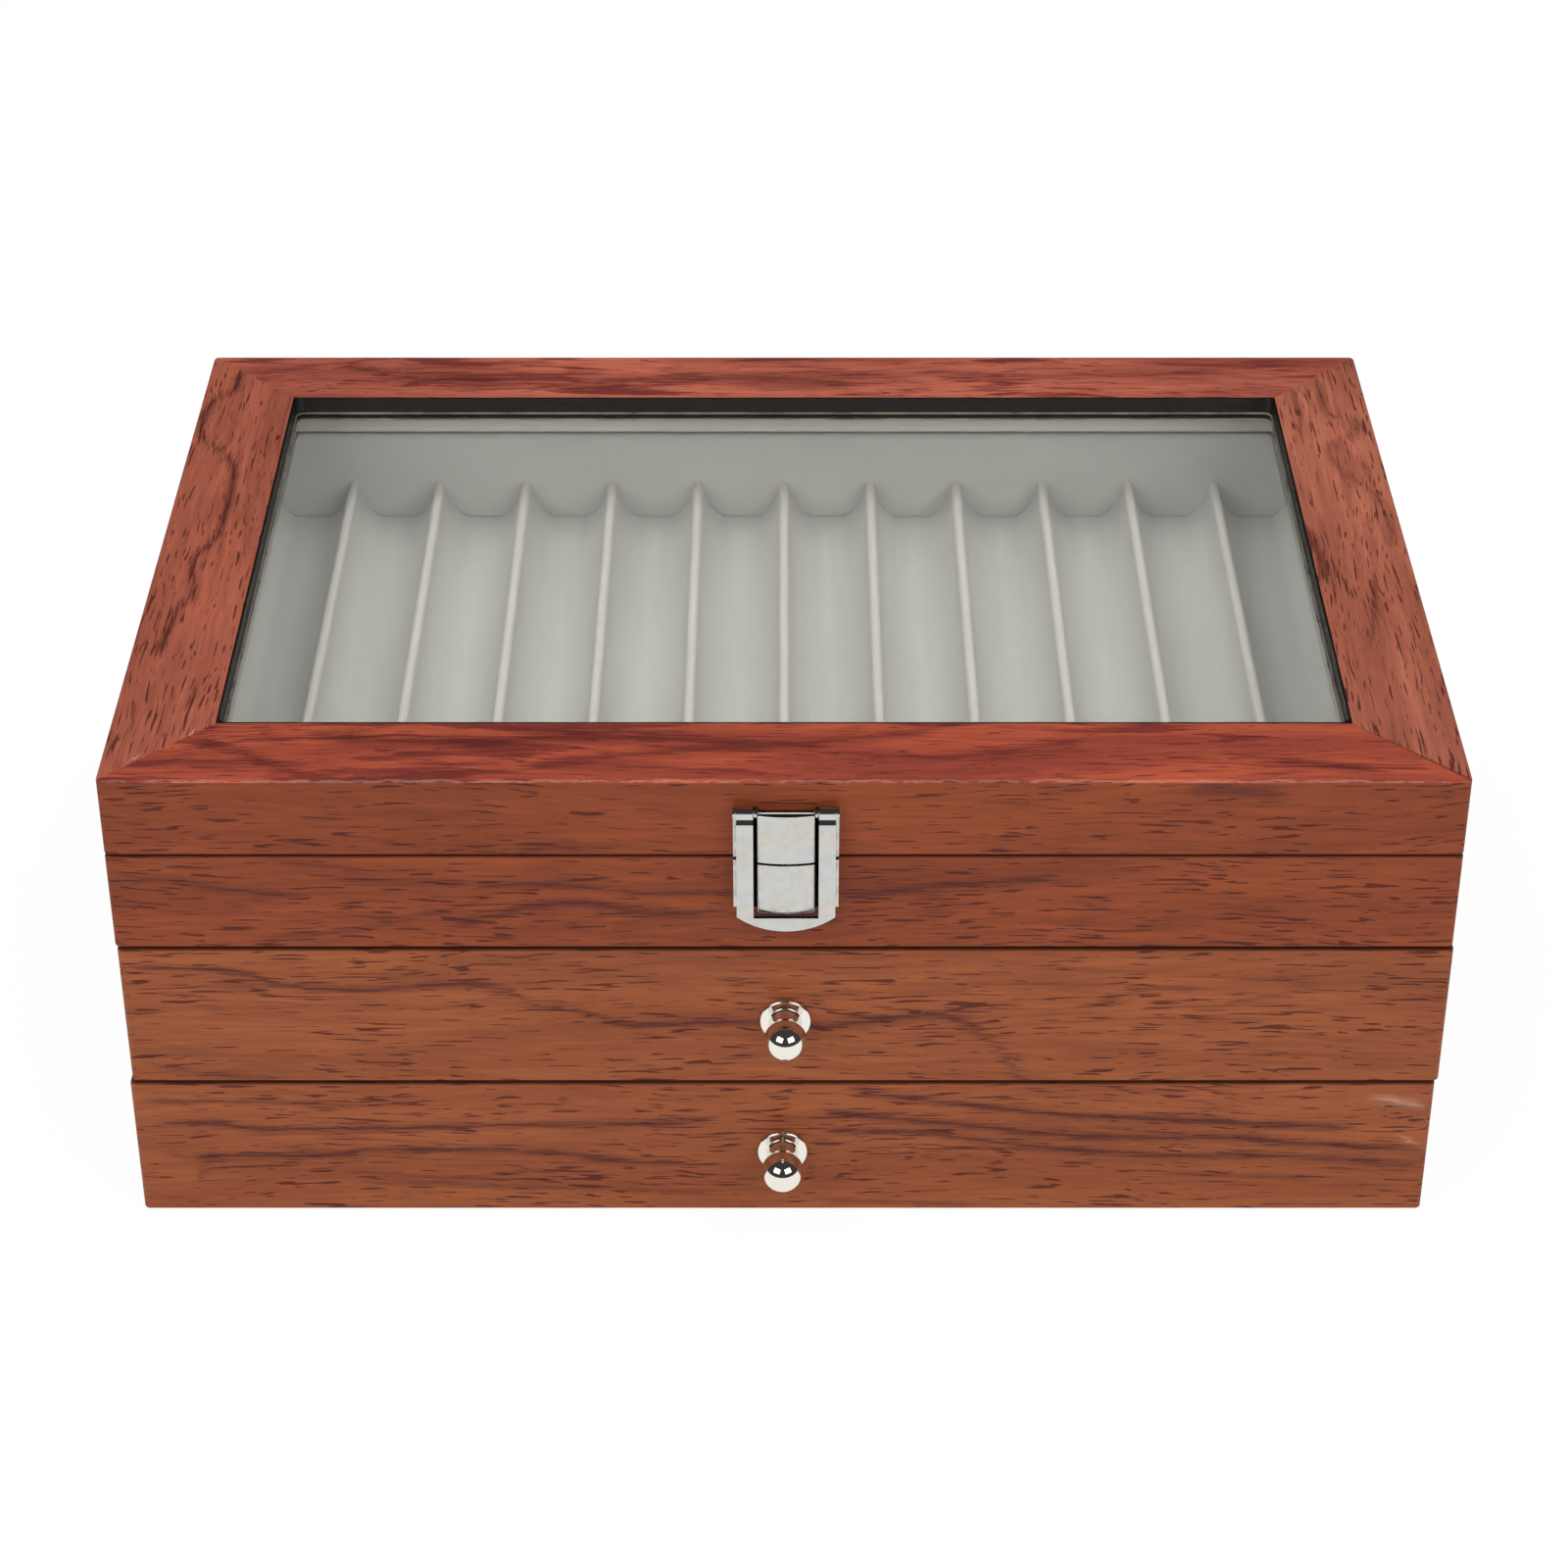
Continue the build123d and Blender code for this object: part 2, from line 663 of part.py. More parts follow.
# ---------- drawers ----------
def knob_solid(z):
    """A turned knob: a flange on the front, a hollow neck and a ball, with a blind screw hole."""
    waist_from_ball = math.sqrt(ball_radius**2 - neck_waist_radius**2)
    y_waist = ball_stand_off - waist_from_ball
    neck_mean_radius = (neck_radius + neck_waist_radius) / 2
    neck_bend = (neck_mean_radius - neck_hollow, (flange_thickness + y_waist) / 2)
    outline = Line((0, 0), (flange_radius, 0))
    outline += Line((flange_radius, 0), (flange_radius, flange_thickness / 2))
    rim = (flange_radius - flange_thickness / 2, flange_thickness)
    outline += Line((flange_radius, flange_thickness / 2), rim)
    outline += Line(rim, (neck_radius, flange_thickness))
    outline += ThreePointArc((neck_radius, flange_thickness), neck_bend, (neck_waist_radius, y_waist))
    outline += ThreePointArc(
        (neck_waist_radius, y_waist), (ball_radius, ball_stand_off), (0, ball_stand_off + ball_radius)
    )
    outline += Line((0, ball_stand_off + ball_radius), (0, 0))
    plane = Plane((0, y_front, z), x_dir=(1, 0, 0), z_dir=(0, 0, -1))
    turned = revolve(plane * make_face(outline), axis=Axis((0, y_front, z), (0, 1, 0)))
    hole_depth = knob_screw_reach + knob_screw_end_gap
    return turned - rod(0, y_front, z, knob_screw_radius + thread_clearance, hole_depth, (0, -1, 0))


def knob_screw_solid(z):
    """The machine screw that holds a knob from inside the drawer front."""
    y_seat = y_front_back - knob_screw_head_height
    head = rod(0, y_seat, z, knob_screw_head_radius, knob_screw_head_height, (0, 1, 0))
    shank_length = y_seat - y_front + knob_screw_reach
    return head + rod(0, y_seat, z, knob_screw_radius, shank_length, (0, -1, 0))


def drawer_front_solid(z, z_knob):
    """The full-width front of a drawer, with the hole and counterbore of its knob screw."""
    front = block(-x_case, x_case, y_front, y_front_back, z, z + drawer_front_height)
    front = round_upright(front, front_corners())
    front = round_arris(front, Axis.X, y_front, (z, z + drawer_front_height))
    y_seat = y_front_back - knob_screw_head_height
    head_hole = knob_screw_head_radius + counterbore_clearance
    front -= rod(0, y_seat, z_knob, head_hole, knob_screw_head_height + past_cut, (0, 1, 0))
    shank_hole = knob_screw_radius + thread_clearance
    front -= rod(0, y_front - past_cut, z_knob, shank_hole, front_thickness + past_cut, (0, 1, 0))
    return front


def write_drawer(name, z_front, z_runner, shift):
    """One drawer: its front stands at z_front, its box runs on the board whose top is z_runner,
    and the whole drawer sits a little to one side of the middle, within its side play."""

    def write_shifted(piece, *solids):
        write(f"{name}_drawer_{piece}", *[Pos(shift, 0, 0) * solid for solid in solids])

    z_knob = z_front + drawer_front_height / 2 - knob_drop
    write_shifted("front", drawer_front_solid(z_front, z_knob))
    write_shifted("knob", knob_solid(z_knob))
    write_shifted("knob_screw", knob_screw_solid(z_knob))

    x_outer = x_inner - drawer_side_play
    x_box = x_outer - drawer_side_thickness
    y_end = y_inner_back - drawer_back_play
    y_box_end = y_end - drawer_side_thickness
    z0 = z_runner + drawer_run_gap
    z1 = z0 + drawer_box_height
    write_shifted("left_side", block(-x_outer, -x_box, y_front_back, y_end, z0, z1))
    write_shifted("right_side", block(x_box, x_outer, y_front_back, y_end, z0, z1))
    write_shifted("back", block(-x_box, x_box, y_box_end, y_end, z0, z1))
    z_bottom_top = z0 + drawer_bottom_thickness
    write_shifted("bottom", block(-x_box, x_box, y_front_back, y_box_end, z0, z_bottom_top))

    z_lining = z1 - drawer_lining_drop
    boards = lining_boards(x_box, y_front_back, y_box_end, z_bottom_top, z_lining)
    write_shifted("lining", *boards.values())
    y0 = y_front_back + lining_thickness
    y1 = y_box_end - lining_thickness
    x_half = x_box - lining_thickness
    z_board_top = z_bottom_top + tray_board_thickness
    write_shifted("tray_board", block(-x_half, x_half, y0, y1, z_bottom_top, z_board_top))
    ridges = tray_ridges(x_half, y0, y1, z_board_top, drawer_slot_count)
    write_shifted("tray_ridges", *ridges)


os.makedirs("parts", exist_ok=True)
write_case()
write_top_compartment()
write_lid_walls()
write_lid_top()
write_lid_window()
write_hinges()
write_latch()
write_hasp()
write_drawer("lower", z_case, z_floor_top, lower_drawer_shift)
write_drawer("upper", z_upper_front, z_shelf_top, upper_drawer_shift)
print("top of the lid", z_lid_top)
print("hinge axis y, z", y_hinge, z_parting, "latch axis y, z", y_latch_pin, z_latch_pin)
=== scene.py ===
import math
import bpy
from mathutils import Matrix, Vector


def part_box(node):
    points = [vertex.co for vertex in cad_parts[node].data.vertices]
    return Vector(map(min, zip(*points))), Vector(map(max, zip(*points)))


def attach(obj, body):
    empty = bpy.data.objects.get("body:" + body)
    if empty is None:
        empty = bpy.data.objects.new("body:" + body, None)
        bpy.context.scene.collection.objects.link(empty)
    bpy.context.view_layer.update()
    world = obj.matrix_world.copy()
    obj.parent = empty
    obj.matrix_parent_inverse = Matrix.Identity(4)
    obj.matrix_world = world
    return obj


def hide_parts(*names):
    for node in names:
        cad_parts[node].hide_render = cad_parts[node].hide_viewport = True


bl_info = {
    "name": "Pen Collector Chest",
    "version": (1, 0, 0),
    "blender": (4, 5, 0),
    "location": "View3D > Sidebar > Pen Chest",
    "description": "Builds the looks of a glazed pen chest with two drawers round its packed model",
    "category": "Object",
}

import bmesh
import bpy
from mathutils import Matrix, Vector, noise

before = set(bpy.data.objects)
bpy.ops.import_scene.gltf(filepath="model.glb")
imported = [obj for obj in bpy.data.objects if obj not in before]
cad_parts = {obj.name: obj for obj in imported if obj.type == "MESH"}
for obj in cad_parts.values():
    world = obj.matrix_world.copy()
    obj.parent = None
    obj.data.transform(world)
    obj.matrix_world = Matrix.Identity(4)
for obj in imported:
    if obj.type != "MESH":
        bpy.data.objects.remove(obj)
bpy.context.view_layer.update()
MM = 0.001
SMALL = MM / 10


# ---------- settings ----------
def tint(red, green, blue):
    """A colour from its display values, 0 to 255, as Blender's linear red, green, blue."""
    shares = [value / 255 for value in (red, green, blue)]
    return tuple(
        share / 12.92 if share <= 0.04045 else ((share + 0.055) / 1.055) ** 2.4 for share in shares
    )


def colour_setting(name, description, *display_values):
    """A colour that a user may change."""
    return bpy.props.FloatVectorProperty(
        name=name, description=description, subtype="COLOR", default=tint(*display_values)
    )


class WoodSettings(bpy.types.PropertyGroup):
    """Colours of the veneers, which a repaint would change."""

    top_colour: colour_setting("Top colour", "Front veneer on the lid", 181, 84, 58)
    back_colour: colour_setting("Back colour", "Back veneer on the lid, a paler leaf", 190, 102, 80)
    left_colour: colour_setting("Left colour", "Left veneer on the lid, and the left side", 170, 92, 70)
    right_colour: colour_setting("Right colour", "Right veneer on the lid, and the right side", 182, 106, 82)
    front_colour: colour_setting("Front colour", "Drawer fronts", 156, 86, 50)
    band_colour: colour_setting("Band colour", "Front of the lid, band below it, and back", 144, 70, 38)
    roughness: bpy.props.FloatProperty(
        name="Roughness",
        description="Roughness of the satin varnish",
        subtype="FACTOR",
        min=0.0,
        max=1.0,
        default=0.48,
    )


class ClothSettings(bpy.types.PropertyGroup):
    """Colours and softness of the flocked trays and linings."""

    tray_colour: colour_setting("Tray colour", "Flocked trays and linings", 173, 171, 165)
    # The lid's flock is the trays' cloth painted paler: painted light against the shade that the frame casts
    # on it.
    lid_lightened_colour: colour_setting("Lid lining colour", "Flocked boards in the lid", 228, 222, 214)
    felt_colour: colour_setting("Felt colour", "Felt under the chest", 70, 68, 66)
    edge_softness: bpy.props.FloatProperty(
        name="Edge softness",
        description="Radius of the flocked edges of the lining boards",
        unit="LENGTH",
        default=1.6 * MM,
    )
    unevenness: bpy.props.FloatProperty(
        name="Unevenness",
        description="How far the flocked trays stray from true",
        unit="LENGTH",
        default=0.12 * MM,
    )


class MetalSettings(bpy.types.PropertyGroup):
    """Finish and edges of the nickel fittings."""

    knob_colour: colour_setting("Knob colour", "Bright plated knobs", 238, 233, 224)
    latch_colour: colour_setting("Latch colour", "Duller plating of the latch and hinges", 204, 203, 198)
    edge_radius: bpy.props.FloatProperty(
        name="Edge radius",
        description="Radius of the rounded edges of the latch and the hinges",
        unit="LENGTH",
        default=0.24 * MM,
    )
    knob_facets: bpy.props.IntProperty(
        name="Knob facets", description="Steps round a turned knob", default=72, min=12
    )


class StageSettings(bpy.types.PropertyGroup):
    """Camera and light."""

    lens: bpy.props.FloatProperty(
        name="Lens", description="Focal length on a 36 mm wide sensor", unit="CAMERA", default=85.57
    )
    camera_pitch: bpy.props.FloatProperty(
        name="Camera pitch",
        description="How far the camera looks down",
        subtype="ANGLE",
        default=math.radians(33.1),
    )
    camera_place: bpy.props.FloatVectorProperty(
        name="Camera place",
        description="Where the camera stands",
        subtype="XYZ",
        unit="LENGTH",
        default=(0.0, -0.8863, 0.6381),
    )
    front_light: bpy.props.FloatProperty(
        name="Front light",
        description="Power of each of the two soft boxes beside the camera",
        unit="POWER",
        default=8.5,
    )
    top_light: bpy.props.FloatProperty(
        name="Top light",
        description="Power of each of the two soft boxes overhead",
        unit="POWER",
        default=5.5,
    )
    surround: bpy.props.FloatProperty(
        name="Surround", description="Strength of the even light from all round", default=0.42
    )


SETTINGS = (
    ("pen_chest_wood", WoodSettings),
    ("pen_chest_cloth", ClothSettings),
    ("pen_chest_metal", MetalSettings),
    ("pen_chest_stage", StageSettings),
)


# ---------- nodes ----------
class Nodes:
    """Adds nodes to one tree. What it is given may be numbers, colours or other nodes' results."""

    def __init__(self, tree):
        self.tree = tree

    def feed(self, node, inputs):
        """Link or set a node's inputs."""
        for key, value in inputs.items():
            socket = node.inputs[key]
            if isinstance(value, bpy.types.NodeSocket):
                self.tree.links.new(value, socket)
            elif socket.type == "RGBA":
                socket.default_value = (*value, 1.0)
            else:
                socket.default_value = value
        return node

    def add(self, kind, inputs=None, **settings):
        """Add a node, set its properties, and feed its inputs."""
        made = self.tree.nodes.new(f"ShaderNode{kind}")
        for name, value in settings.items():
            setattr(made, name, value)
        return self.feed(made, inputs or {})

    def group(self, group, inputs):
        """The results of a node group that is placed here."""
        return self.add("Group", inputs, node_tree=group).outputs

    def maths(self, operation, first, second=0.0, clamp=False):
        inputs = {0: first, 1: second}
        return self.add("Math", inputs, operation=operation, use_clamp=clamp).outputs[0]

    def plus(self, first, second, clamp=False):
        return self.maths("ADD", first, second, clamp)

    def minus(self, first, second):
        return self.maths("SUBTRACT", first, second)

    def times(self, first, second, clamp=False):
        return self.maths("MULTIPLY", first, second, clamp)

    def larger(self, first, second):
        return self.maths("MAXIMUM", first, second)

    def apart(self, first, second):
        """How far two values lie from each other."""
        return self.maths("ABSOLUTE", self.minus(first, second))

    def blend(self, factor, first, second, mode="MIX"):
        """A colour between two colours."""
        inputs = {0: factor, 6: first, 7: second}
        return self.add("Mix", inputs, data_type="RGBA", blend_type=mode).outputs[2]

    def blend_values(self, factor, first, second):
        """A value between two values."""
        return self.add("Mix", {0: factor, 2: first, 3: second}, data_type="FLOAT").outputs[0]

    def shaded(self, colour, value):
        """A colour made lighter or darker by a value."""
        grey = self.add("CombineColor", {0: value, 1: value, 2: value}).outputs[0]
        return self.blend(1.0, colour, grey, "MULTIPLY")

    def ramp(self, value, low, high, out_low=0.0, out_high=1.0, kind="SMOOTHSTEP"):
        """A value brought from one range to another, and held at its ends."""
        inputs = {0: value, 1: low, 2: high, 3: out_low, 4: out_high}
        return self.add("MapRange", inputs, interpolation_type=kind).outputs[0]

    def split(self, vector):
        return self.add("SeparateXYZ", {0: vector}).outputs

    def joined(self, x=0.0, y=0.0, z=0.0):
        return self.add("CombineXYZ", {"X": x, "Y": y, "Z": z}).outputs[0]

    def scaled(self, vector, scale):
        return self.add("VectorMath", {0: vector, 1: scale}, operation="MULTIPLY").outputs[0]

    def moved(self, vector, by):
        return self.add("VectorMath", {0: vector, 1: by}, operation="ADD").outputs[0]

    def cloud(self, place, scale, detail=2.0, roughness=0.5, distortion=0.0):
        """Soft noise with a mean of about a half, with a scale for each axis."""
        inputs = {
            "Vector": self.scaled(place, scale),
            "Scale": 1.0,
            "Detail": detail,
            "Roughness": roughness,
            "Distortion": distortion,
        }
        return self.add("TexNoise", inputs).outputs["Fac"]

    def drift(self, noise_value, reach):
        """Soft noise turned into a shift that goes either way."""
        return self.times(self.minus(noise_value, 0.5), reach)

    def cells(self, place, scale):
        """The distance to the nearest of many scattered points."""
        inputs = {"Vector": place, "Scale": scale, "Randomness": 1.0}
        return self.add("TexVoronoi", inputs).outputs["Distance"]

    def own(self, kind):
        """The object's own coordinates or normal."""
        return self.add("TexCoord").outputs[kind]

    def bump(self, height, distance, strength):
        """A normal from a height, which is worth a distance in millimetres."""
        inputs = {"Height": height, "Distance": distance * MM, "Strength": strength}
        return self.add("Bump", inputs).outputs[0]

    def mix_shaders(self, factor, first, second):
        return self.add("MixShader", {0: factor, 1: first, 2: second}).outputs[0]


def new_group(name, inputs, outputs):
    """A shader node group, begun: its nodes, the values it is given, and its result."""
    group = bpy.data.node_groups.new(name, "ShaderNodeTree")
    for socket_name, value in inputs.items():
        kind = {float: "Float", Vector: "Vector", tuple: "Color"}[type(value)]
        socket = group.interface.new_socket(
            socket_name, in_out="INPUT", socket_type=f"NodeSocket{kind}"
        )
        socket.default_value = (*value, 1.0) if kind == "Color" else value
    for socket_name, kind in outputs.items():
        group.interface.new_socket(socket_name, in_out="OUTPUT", socket_type=f"NodeSocket{kind}")
    given = group.nodes.new("NodeGroupInput").outputs
    return Nodes(group), given, group.nodes.new("NodeGroupOutput")


def new_material(name):
    """A material, begun: itself, its nodes, its shader and the place on the object in millimetres."""
    material = bpy.data.materials.new(name)
    material.use_nodes = True
    nodes = Nodes(material.node_tree)
    shader = material.node_tree.nodes["Principled BSDF"]
    return material, nodes, shader, nodes.scaled(nodes.own("Object"), (1000.0, 1000.0, 1000.0))


def show_shader(material, shader):
    """Give a material another shader in place of its plain one."""
    tree = material.node_tree
    tree.links.new(shader, tree.nodes["Material Output"].inputs["Surface"])


# ---------- wood ----------
def wood_figure_group():
    """Veneer: waves of tone, dark growth lines, fibres and open pores, all running along X."""
    nodes, given, result = new_group(
        "Veneer Figure",
        {
            "Vector": Vector(),
            "Swirl": 14.0,
            "Flame": 0.5,
            "Veins": 0.6,
            "Pores": 0.8,
            "Feather": 40.0,
            "Light": (0.4, 0.15, 0.08),
            "Dark": (0.2, 0.05, 0.03),
            "Vein": (0.08, 0.03, 0.02),
        },
        {"Color": "Color", "Height": "Float", "Polish": "Float"},
    )
    place = given["Vector"]

    shift = nodes.drift(nodes.cloud(place, (0.0085, 0.022, 0.022), detail=3.0), given["Swirl"])
    rows = nodes.cloud(place, (0.02, 0.9, 0.9), detail=4.0, roughness=0.75)
    slide = nodes.drift(rows, given["Feather"])
    bent = nodes.moved(place, nodes.joined(slide, shift, shift))

    tone = nodes.cloud(bent, (0.010, 0.075, 0.075), detail=4.0, roughness=0.6)
    flame = nodes.cloud(bent, (0.026, 0.16, 0.16), detail=5.0, roughness=0.6, distortion=0.8)
    tone_mask = nodes.ramp(tone, 0.36, 0.66)
    flame_mask = nodes.times(nodes.ramp(flame, 0.49, 0.61), given["Flame"])
    depth = nodes.larger(nodes.times(tone_mask, 0.6), flame_mask)
    colour = nodes.blend(depth, given["Light"], given["Dark"])

    fibre = nodes.cloud(bent, (0.035, 0.6, 0.6), detail=5.0, roughness=0.8)
    colour = nodes.shaded(colour, nodes.ramp(fibre, 0.28, 0.72, 0.74, 1.24, "LINEAR"))

    growth = nodes.cloud(bent, (0.0045, 0.05, 0.05))
    saw = nodes.maths("FRACT", nodes.times(growth, 11.0))
    line = nodes.times(nodes.ramp(saw, 0.0, 0.05), nodes.ramp(saw, 0.05, 0.30, 1.0, 0.0))
    comes = nodes.ramp(nodes.cloud(place, (0.012, 0.045, 0.045)), 0.5, 0.66)
    ragged = nodes.ramp(nodes.cloud(bent, (0.12, 1.6, 1.6)), 0.35, 0.65, 0.3, 1.0)
    vein = nodes.times(nodes.times(line, comes), ragged)
    colour = nodes.blend(nodes.times(vein, given["Veins"], clamp=True), colour, given["Vein"])

    swayed = nodes.moved(place, nodes.joined(0.0, shift, shift))
    dash = nodes.cloud(swayed, (0.085, 1.5, 1.5), detail=1.2, roughness=0.4)
    crowd = nodes.ramp(nodes.cloud(place, (0.02, 0.07, 0.07)), 0.3, 0.7, 0.66, 0.58)
    pore = nodes.ramp(nodes.minus(dash, crowd), 0.0, 0.05)
    pore = nodes.times(pore, given["Pores"], clamp=True)
    colour = nodes.blend(nodes.times(pore, 0.85), colour, given["Vein"])

    polish = nodes.plus(nodes.ramp(tone, 0.3, 0.7, -0.05, 0.06), nodes.times(pore, 0.25))
    height = nodes.minus(nodes.times(fibre, 0.3), pore)
    nodes.feed(result, {"Color": colour, "Height": height, "Polish": polish})
    return nodes.tree


def stroke_group():
    """One stroke, a dark vein, a pale nick or painted shade: a ragged core that swells and thins, in a
    feathered halo. Millimetres.
    """
    nodes, given, result = new_group(
        "Feathered Stroke",
        {
            "Along": 0.0,
            "Across": 0.0,
            "Centre": 0.0,
            "Start": 0.0,
            "End": 10.0,
            "Width": 1.0,
            "Halo": 3.0,
        },
        {"Mask": "Float"},
    )
    flat = nodes.joined(given["Along"], given["Across"], given["Start"])
    shake = nodes.drift(nodes.cloud(flat, (0.16, 0.5, 1.0), detail=3.0), 2.2)
    offset = nodes.plus(nodes.minus(given["Across"], given["Centre"]), shake)
    distance = nodes.maths("ABSOLUTE", offset)
    fibres = nodes.cloud(flat, (0.06, 1.3, 1.0), detail=4.0, roughness=0.75)

    swell = nodes.ramp(nodes.cloud(flat, (0.07, 0.0, 1.0)), 0.35, 0.65, 0.45, 1.5)
    width = nodes.times(given["Width"], swell)
    core = nodes.ramp(nodes.maths("DIVIDE", distance, width), 0.2, 1.5, 1.0, 0.0)
    core = nodes.times(core, nodes.ramp(fibres, 0.3, 0.55, 0.45, 1.0))
    halo = nodes.ramp(nodes.maths("DIVIDE", distance, given["Halo"]), 0.0, 1.0, 1.0, 0.0)
    halo = nodes.times(halo, nodes.ramp(fibres, 0.35, 0.62, 0.15, 0.85))

    from_start = nodes.minus(given["Along"], given["Start"])
    from_end = nodes.minus(given["End"], given["Along"])
    ends = nodes.ramp(nodes.maths("MINIMUM", from_start, from_end), -1.0, 6.0)
    nodes.feed(result, {"Mask": nodes.times(nodes.larger(core, halo), ends)})
    return nodes.tree


def path_centre(nodes, along, points):
    """How far across the grain a vein's centre lies, by the place along it."""
    start = points[0][0]
    length = points[-1][0] - start
    lowest = min(across for _, across in points) - 1.0
    spread = max(across for _, across in points) + 1.0 - lowest
    share = nodes.maths("DIVIDE", nodes.minus(along, start), length, clamp=True)
    curve = nodes.add("FloatCurve", {"Value": share})
    spots = [((place - start) / length, (across - lowest) / spread) for place, across in points]
    knots = curve.mapping.curves[0].points
    knots[0].location = spots[0]
    knots[-1].location = spots[-1]
    for spot in spots[1:-1]:
        knots.new(*spot)
    curve.mapping.update()
    return nodes.plus(nodes.times(curve.outputs[0], spread), lowest)


# Veins of each veneer, and one stroke of painted shade, in millimetres: width, halo, strength, then places
# along and across the grain.
VEINS_AND_SHADE = {
    "lid_veneer_left": (
        (0.75, 2.6, 0.95, ((-59, -163), (-45, -162), (-34, -161), (-23, -158), (-9, -160), (2, -157),
                           (13, -155), (38, -155), (51, -157), (60, -163), (68, -168), (80, -168),
                           (90, -165), (98, -161), (108, -163))),
        (0.6, 2.0, 0.7, ((-85, -154), (-76, -151), (-66, -152))),
    ),
    "lid_veneer_right": (
        (0.8, 3.2, 0.6, ((-1, 163), (13, 167), (31, 165), (49, 156), (58, 156), (71, 166), (81, 158),
                         (102, 157))),
        (1.6, 4.5, 0.8, ((-20, 144), (-11, 146), (0, 145), (13, 144))),
        (0.6, 2.4, 0.6, ((-50, 153), (-37, 156), (-25, 158), (-14, 158))),
    ),
    "lid_veneer_front": (
        (1.0, 3.5, 0.9, ((-150, -95), (-133, -105), (-120, -112))),
        (2.2, 7.0, 0.8, ((-120, -92), (-90, -98), (-50, -96), (-5, -100))),
        (1.4, 5.0, 0.7, ((-60, -108), (-30, -103), (10, -98), (40, -92))),
        (1.0, 4.0, 0.8, ((112, -104), (130, -108), (150, -113))),
    ),
    "lid_veneer_back": (
        (1.2, 4.0, 0.8, ((-135, 112), (-122, 107), (-108, 102), (-80, 101))),
        (1.6, 6.0, 0.7, ((-60, 98), (-20, 102), (20, 98))),
        (1.0, 4.0, 0.6, ((40, 108), (80, 104), (130, 108))),
    ),
    "lid_front_wall": (
        (0.6, 2.0, 0.7, ((-68, 115), (-58, 117), (-46, 116))),
        (2.2, 5.0, 0.7, ((98, 135), (112, 134), (126, 133))),
    ),
    "upper_front_band": (
        (0.6, 2.2, 0.8, ((-78, 104), (-64, 106), (-41, 104), (-31, 103), (-15, 104))),
        (0.7, 2.6, 0.9, ((-87, 91), (-74, 96), (-57, 100), (-49, 100), (-36, 97), (-27, 97), (-13, 98))),
        (0.9, 2.6, 0.8, ((13, 102), (30, 104), (49, 106), (69, 108))),
        (0.5, 2.0, 0.7, ((-169, 108), (-154, 107), (-143, 105), (-121, 102))),
        (0.6, 2.0, 0.7, ((-130, 113), (-117, 112), (-106, 109))),
        (0.5, 2.0, 0.6, ((-132, 90), (-111, 92), (-85, 98), (-72, 102))),
        # painted shade on the wood that shows through the latch, under its lower boss
        (2.0, 2.6, 1.0, ((-14, 96.7), (0.5, 96.7), (15, 96.7))),
    ),
    "upper_drawer_front": (
        (0.7, 2.0, 0.9, ((-169, 80), (-140, 79), (-130, 75), (-105, 73), (-85, 75), (-70, 72), (-63, 68),
                         (-50, 66), (-40, 62), (-10, 63), (12, 61))),
        (1.2, 4.0, 0.95, ((8, 61), (28, 64), (39, 65), (49, 62), (54, 58), (60, 48), (64, 43))),
        (0.5, 2.0, 0.4, ((-167, 53), (-150, 46), (-115, 45))),
    ),
    "lower_drawer_front": (
        (0.6, 2.0, 0.6, ((-169, 37), (-145, 37), (-110, 35))),
        (0.75, 2.6, 0.9, ((-166, 28), (-151, 30), (-140, 28), (-108, 28), (-70, 29), (-28, 30), (-15, 33))),
        (0.75, 2.6, 0.9, ((-158, 19), (-125, 19), (-102, 21), (-62, 20), (-49, 18), (-26, 16))),
        (0.6, 2.2, 0.5, ((-115, 10), (-60, 8), (-16, 6))),
        (0.85, 2.8, 0.95, ((17, 41), (41, 37), (69, 33), (102, 31), (149, 28))),
        (0.85, 2.8, 0.95, ((8, 34), (55, 28), (84, 25), (115, 25), (137, 23), (169, 21))),
        (0.75, 2.6, 0.9, ((8, 27), (31, 27), (58, 23), (76, 21), (103, 19), (126, 19), (168, 15))),
        (0.7, 2.0, 0.5, ((98, 13), (125, 12), (142, 11))),
        (0.6, 2.0, 0.5, ((8, 4), (54, 2))),
    ),
}

# Pale nicks and scratches, and a thin pale line along the lid's top front edge, in the same terms.
NICKS = {
    "lid_veneer_front": (
        (0.15, 0.3, 0.22, ((-170, -116.0), (-57, -115.9), (57, -115.9), (170, -116.0))),
    ),
    "lid_veneer_left": (
        (0.35, 0.6, 0.9, ((-108, -163), (-103, -160))),
        (0.3, 0.5, 0.8, ((-97, -150), (-91, -148))),
    ),
    "lower_drawer_front": (
        (0.35, 2.5, 0.55, ((152, 38), (160, 37), (169, 35))),
        (0.25, 1.5, 0.4, ((160, 26), (169, 22))),
    ),
}
VEIN_AND_SHADE_INK = tint(78, 34, 30)
NICK_INK = tint(214, 178, 156)
VEIN_FEATHER = 30.0
NICK_FEATHER = 3.0

# Painted shade along the edges that meet the gaps between parts, which deepens the dark gap lines.
GAP_EDGE_SHADE = tint(58, 24, 16)
GAP_SHADED_EDGES = {
    "lid_front_wall": ("low",),
    "lid_left_wall": ("low",),
    "lid_right_wall": ("low",),
    "lid_back_wall": ("low",),
    "back_panel": ("high",),
    "left_side_panel": ("high",),
    "right_side_panel": ("high",),
    "upper_front_band": ("low", "high"),
    "upper_drawer_front": ("low", "high"),
    "lower_drawer_front": ("high",),
}


